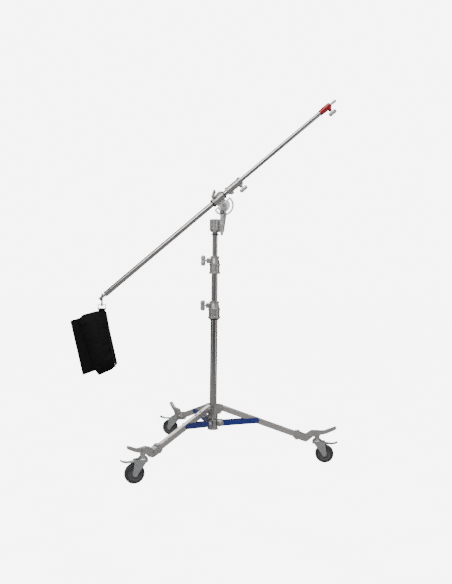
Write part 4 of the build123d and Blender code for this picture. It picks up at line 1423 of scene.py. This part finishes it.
@dataclass
class Strap:
    """Webbing that goes over the ring's lower bar and down between the pouches, in millimetres."""

    width: float = 36.0
    thick: float = 1.6
    bar: float = 67.0
    end: float = 138.0
    turn: float = 5.2
    clear: float = 6.0
    parting: float = 30.0
    gap: float = 1.4

    def build(self) -> None:
        """Stands for the strap's CAD node: an oval swept down, around the bar and back."""
        down = np.linspace(-self.end, -self.bar - self.clear, 40)
        arc = np.linspace(0.0, math.pi, 24)
        close = np.clip((down + self.bar + self.clear) / -self.parting, 0.0, 1.0)
        y = -self.turn + (self.turn - self.gap) * close * close * (3 - 2 * close)
        front = np.stack([y, down], axis=1)
        over = np.stack([-self.turn * np.cos(arc), -self.bar + self.turn * np.sin(arc)], axis=1)
        back = front[::-1] * np.array([-1.0, 1.0])
        path = np.concatenate([front, over, back])
        step = np.gradient(path, axis=0)
        step /= np.hypot(*step.T)[:, None]
        across = np.stack([np.zeros(len(path)), step[:, 1], -step[:, 0]], axis=1)
        middle = HOOK_PIN + MM * np.stack([np.zeros(len(path)), path[:, 0], path[:, 1]], axis=1)
        rings = [m + oval(X_AXIS * self.width / 2 * MM, a * self.thick / 2 * MM, 4.0, 28)
                 for m, a in zip(middle, across)]
        shell = Shell()
        shell.tube(np.array(rings))
        strap = shell.piece("sandbag_strap_webbing", Finish.WEBBING, "sandbag", "bag_fabric", "sandbag_strap")


@dataclass
class Sandbag:
    """Saddle bag of two pouches, its zip and its strap, in millimetres from the hook's pin."""

    front: tuple = ((-25, -76.5), (27, -77.5), (46, -174), (93, -371), (61, -405), (-12, -438), (-40, -400),
                    (-136, -129), (-104, -98))
    back: tuple = ((-30, -84), (7, -96), (76, -392), (-30, -411), (-104, -439), (-178, -135))
    seam: tuple = ((-43, -98), (42, -344))

    def build(self) -> None:
        """Makes every piece of the bag."""
        surface = Pouch("sandbag_front", self.front, -1, seam=self.seam).build()
        Pouch("sandbag_back", self.back, 1).build()
        Zip().build(surface)
        Strap().build()


@dataclass
class Mast:
    """Column, risers, collars and receiver. Heights and lengths are in millimetres."""

    tubes: tuple[str, ...] = ("column_tube", "riser_1_tube", "riser_2_tube")
    castings: tuple[str, ...] = ("lower_collar", "upper_collar", "receiver")
    rings: tuple[str, ...] = ("lower_collar_ring", "receiver_ring")
    bushes: tuple[str, ...] = ("riser_1_bush", "riser_2_bush")
    knobs: tuple = (("lower_collar_knob", 852.0), ("upper_collar_knob", 1103.0))
    knob_out: float = 46.3
    knob_screw: float = 28.5

    def build(self) -> None:
        """Dresses the mast."""
        for names, finish in (
            (self.tubes, Finish.MAST), (self.castings, Finish.CASTING), (self.rings, Finish.BLACK_RUBBER),
            (self.bushes, Finish.BLACK_PLASTIC),
        ):
            for name in names:
                dress(name, finish)
        for name, height in self.knobs:
            seat = np.array([-self.knob_out, 0.0, height]) * MM
            Knob(name, seat, -X_AXIS, Z_AXIS, self.knob_screw).build()


@dataclass
class Base:
    """Hubs, legs, braces and casters, with the hub's lock screw in millimetres."""

    count: int = 3
    lock_seat: tuple = (-38.3, 0.0, 233.0)
    lock_screw: float = 18.0
    lock_length: float = 44.0
    lock_reach: float = 30.0

    def build(self) -> None:
        """Dresses the base."""
        for name, finish in (
            ("leg_hub", Finish.CASTING), ("lower_hub", Finish.CASTING),
            ("leg_pivot_bolts", Finish.BOLT), ("brace_pivot_bolts", Finish.BOLT),
        ):
            dress(name, finish)
        seat = np.array(self.lock_seat) * MM
        Knob(
            "hub_lock_screw", seat, -X_AXIS, Y_AXIS, self.lock_screw, self.lock_length, self.lock_reach,
        ).build()
        Clevis().build()
        for number in range(1, self.count + 1):
            for name, finish in (
                ("leg_tube", LEG_FINISHES[number - 1]), ("leg_end", Finish.LEG_END),
                ("brace", Finish.BLUE_PAINT), ("caster_stem", Finish.ZINC),
                ("caster_fork", Finish.ZINC), ("brake_pedal", Finish.ZINC),
            ):
                dress(f"{name}_{number}", finish)
            Wheel(number, LEG_AZIMUTHS[number - 1], CASTER_HEADINGS[number - 1]).build()


@dataclass
class BoomHead:
    """Sleeve, quadrant plate, bolts and lever, with the sleeve knob's place in millimetres."""

    knob_lean: float = math.radians(43.0)
    knob_turn: float = math.radians(43.3)
    knob_along: float = -6.0
    knob_out: float = 31.3
    knob_screw: float = 16.0
    knob_reach: float = 28.0

    def build(self) -> None:
        """Dresses the head."""
        for name, finish in (
            ("boom_sleeve", Finish.CASTING), ("quadrant_plate", Finish.PLATE),
            ("sleeve_rings", Finish.BLACK_RUBBER), ("tilt_bolts", Finish.BOLT), ("tilt_lever", Finish.LEVER),
        ):
            dress(name, finish)
        LeverHub().build()
        out = BOOM_UP * math.cos(self.knob_lean) - Y_AXIS * math.sin(self.knob_lean)
        wing = BOOM_AXIS * math.cos(self.knob_turn) + np.cross(out, BOOM_AXIS) * math.sin(self.knob_turn)
        seat = BOOM_ZERO + self.knob_along * MM * BOOM_AXIS + self.knob_out * MM * out
        Knob("sleeve_knob", seat, out, wing, self.knob_screw, reach=self.knob_reach).build()


@dataclass
class Boom:
    """Boom tubes, collar, tip and tail.

    Each knob's numbers are its place along the boom, its seat's distance below the boom's axis, and its
    screw's length, in millimetres.
    """

    knobs: tuple = (("boom_collar_knob", 145.0, 31.3, 18.5), ("tip_knob", 801.0, 26.3, 18.06))
    knob_length: float = 50.0
    knob_reach: float = 28.0

    def build(self) -> None:
        """Dresses the boom."""
        for name, finish in (
            ("boom_tube", Finish.BOOM), ("boom_inner_tube", Finish.BOOM), ("boom_collar", Finish.CASTING),
            ("tip_socket", Finish.RED_ANODISED), ("tip_pin", Finish.BOLT), ("tail_pin", Finish.BOLT),
            ("snap_hook", Finish.HOOK), ("bag_ring", Finish.HOOK),
        ):
            dress(name, finish)
        for name, along, drop, screw in self.knobs:
            seat = BOOM_ZERO + along * MM * BOOM_AXIS - drop * MM * BOOM_UP
            Knob(name, seat, -BOOM_UP, BOOM_AXIS, screw, self.knob_length, self.knob_reach).build()


@dataclass(frozen=True)
class Softbox:
    """One rectangular area light: its place, what it faces, its width and height, and its radiance."""

    name: str
    place: tuple[float, float, float]
    aim: tuple[float, float, float]
    size: tuple[float, float]
    radiance: float

    def build(self) -> None:
        """Hangs the light. Its power is its radiance times pi times its area."""
        light = bpy.data.lights.new(self.name, "AREA")
        light.shape = "RECTANGLE"
        light.size, light.size_y = self.size
        light.energy = self.radiance * math.pi * self.size[0] * self.size[1]
        lamp = bpy.data.objects.new(self.name, light)
        lamp.location = self.place
        way = Vector(self.aim) - Vector(self.place)
        lamp.rotation_euler = way.to_track_quat("-Z", "Y").to_euler()
        lamp.visible_camera = False
        bpy.context.scene.collection.objects.link(lamp)


@dataclass
class Studio:
    """Floor, lights, world and camera.

    The paper and the room are white to the eye, and have greys of their own in the chrome.
    """

    distance: float = 3.576
    height: float = 0.965
    lens: float = 39.366
    shift: tuple[float, float] = (0.01969, -0.01147)
    roll: float = math.radians(-0.68)
    sensor: float = 36.0
    floor_half: float = 40.0
    white: float = 7.0
    paper: float = 0.42
    paper_seen: float = 0.1
    room_front: float = 0.34
    room_back: float = 0.09
    room_above: float = 0.12
    lights: tuple[Softbox, ...] = (
        Softbox("key_softbox", (-1.6, -3.6, 3.5), (0.0, 0.0, 1.1), (2.8, 2.0), 6.5),
        Softbox("right_strip", (3.2, -1.3, 1.2), (0.0, 0.0, 1.1), (0.7, 2.6), 3.2),
        Softbox("left_strip", (-3.0, -1.6, 1.2), (0.0, 0.0, 1.1), (0.4, 2.6), 2.4),
        Softbox("top_softbox", (0.3, -1.3, 3.6), (0.0, 0.0, 0.6), (2.8, 1.2), 6.0),
        Softbox("back_softbox", (-0.9, 3.4, 3.0), (0.0, 0.0, 1.0), (2.4, 1.8), 3.0),
    )

    def build(self) -> None:
        """Makes everything that isn't the stand."""
        self._floor()
        self._world()
        for softbox in self.lights:
            softbox.build()
        self._camera()

    def _floor(self) -> None:
        """A wide sheet of paper under the stand: near white to the eye, greyer in the chrome."""
        corners = np.array([(-1, -1, 0), (1, -1, 0), (1, 1, 0), (-1, 1, 0)], float) * self.floor_half
        mesh = bpy.data.meshes.new("studio_floor")
        mesh.from_pydata(corners.tolist(), [], [(0, 1, 2, 3)])
        floor = bpy.data.objects.new("studio_floor", mesh)
        bpy.context.scene.collection.objects.link(floor)
        p = Paint("studio_paper")
        seen = p.n.add("ShaderNodeLightPath").outputs["Is Camera Ray"]
        fibre = p.n.remap(p.n.noise(p.place, 3.0, 2.0), 0.3, 0.7, 0.97, 1.0)
        grey = p.n.mix(seen, scaled((1.0, 1.0, 1.0), self.paper), scaled((1.0, 1.0, 1.0), self.paper_seen))
        glow = p.n.maths("MULTIPLY", p.n.maths("MULTIPLY", seen, fibre), self.white)
        p.set(Base_Color=grey, Roughness=0.9, Emission_Color=(1.0, 1.0, 1.0, 1.0), Emission_Strength=glow)
        p.shader.inputs["Specular IOR Level"].default_value = 0.0
        mesh.materials.append(p.material)

    def _world(self) -> None:
        """A white room to the eye; in the chrome, pale in front and above, dark at the back."""
        world = bpy.data.worlds.new("studio_room")
        world.use_nodes = True
        bpy.context.scene.world = world
        n = Nodes(world.node_tree)
        background = world.node_tree.nodes["Background"]
        split = n.add("ShaderNodeSeparateXYZ")
        n.link(n.add("ShaderNodeTexCoord").outputs["Generated"], split.inputs[0])
        level = n.remap(split.outputs["Y"], -0.55, 0.5, self.room_front, self.room_back)
        above = n.remap(split.outputs["Z"], 0.35, 0.95, 0.0, self.room_above)
        seen = n.add("ShaderNodeLightPath").outputs["Is Camera Ray"]
        room = n.maths("ADD", level, above)
        n.link(n.mix(seen, room, (self.white, self.white, self.white, 1.0)), background.inputs["Color"])
        background.inputs["Strength"].default_value = 1.0

    def _camera(self) -> None:
        """A level camera that looks along +Y, with a small roll."""
        data = bpy.data.cameras.new("studio_camera")
        data.sensor_width = self.sensor
        data.lens = self.lens
        data.shift_x, data.shift_y = self.shift
        data.clip_end = 200.0
        camera = bpy.data.objects.new("studio_camera", data)
        camera.location = (0.0, -self.distance, self.height)
        camera.rotation_euler = (math.pi / 2, self.roll, 0.0)
        bpy.context.scene.collection.objects.link(camera)
        bpy.context.scene.camera = camera


def main() -> None:
    """Builds each sub-assembly in order."""
    logging.basicConfig(level=logging.INFO, format="%(name)s: %(message)s")
    for part in (Studio(), Mast(), Base(), BoomHead(), Boom(), Sandbag()):
        part.build()
        LOG.info("built %s", type(part).__name__)


if __name__ == "__main__":
    main()
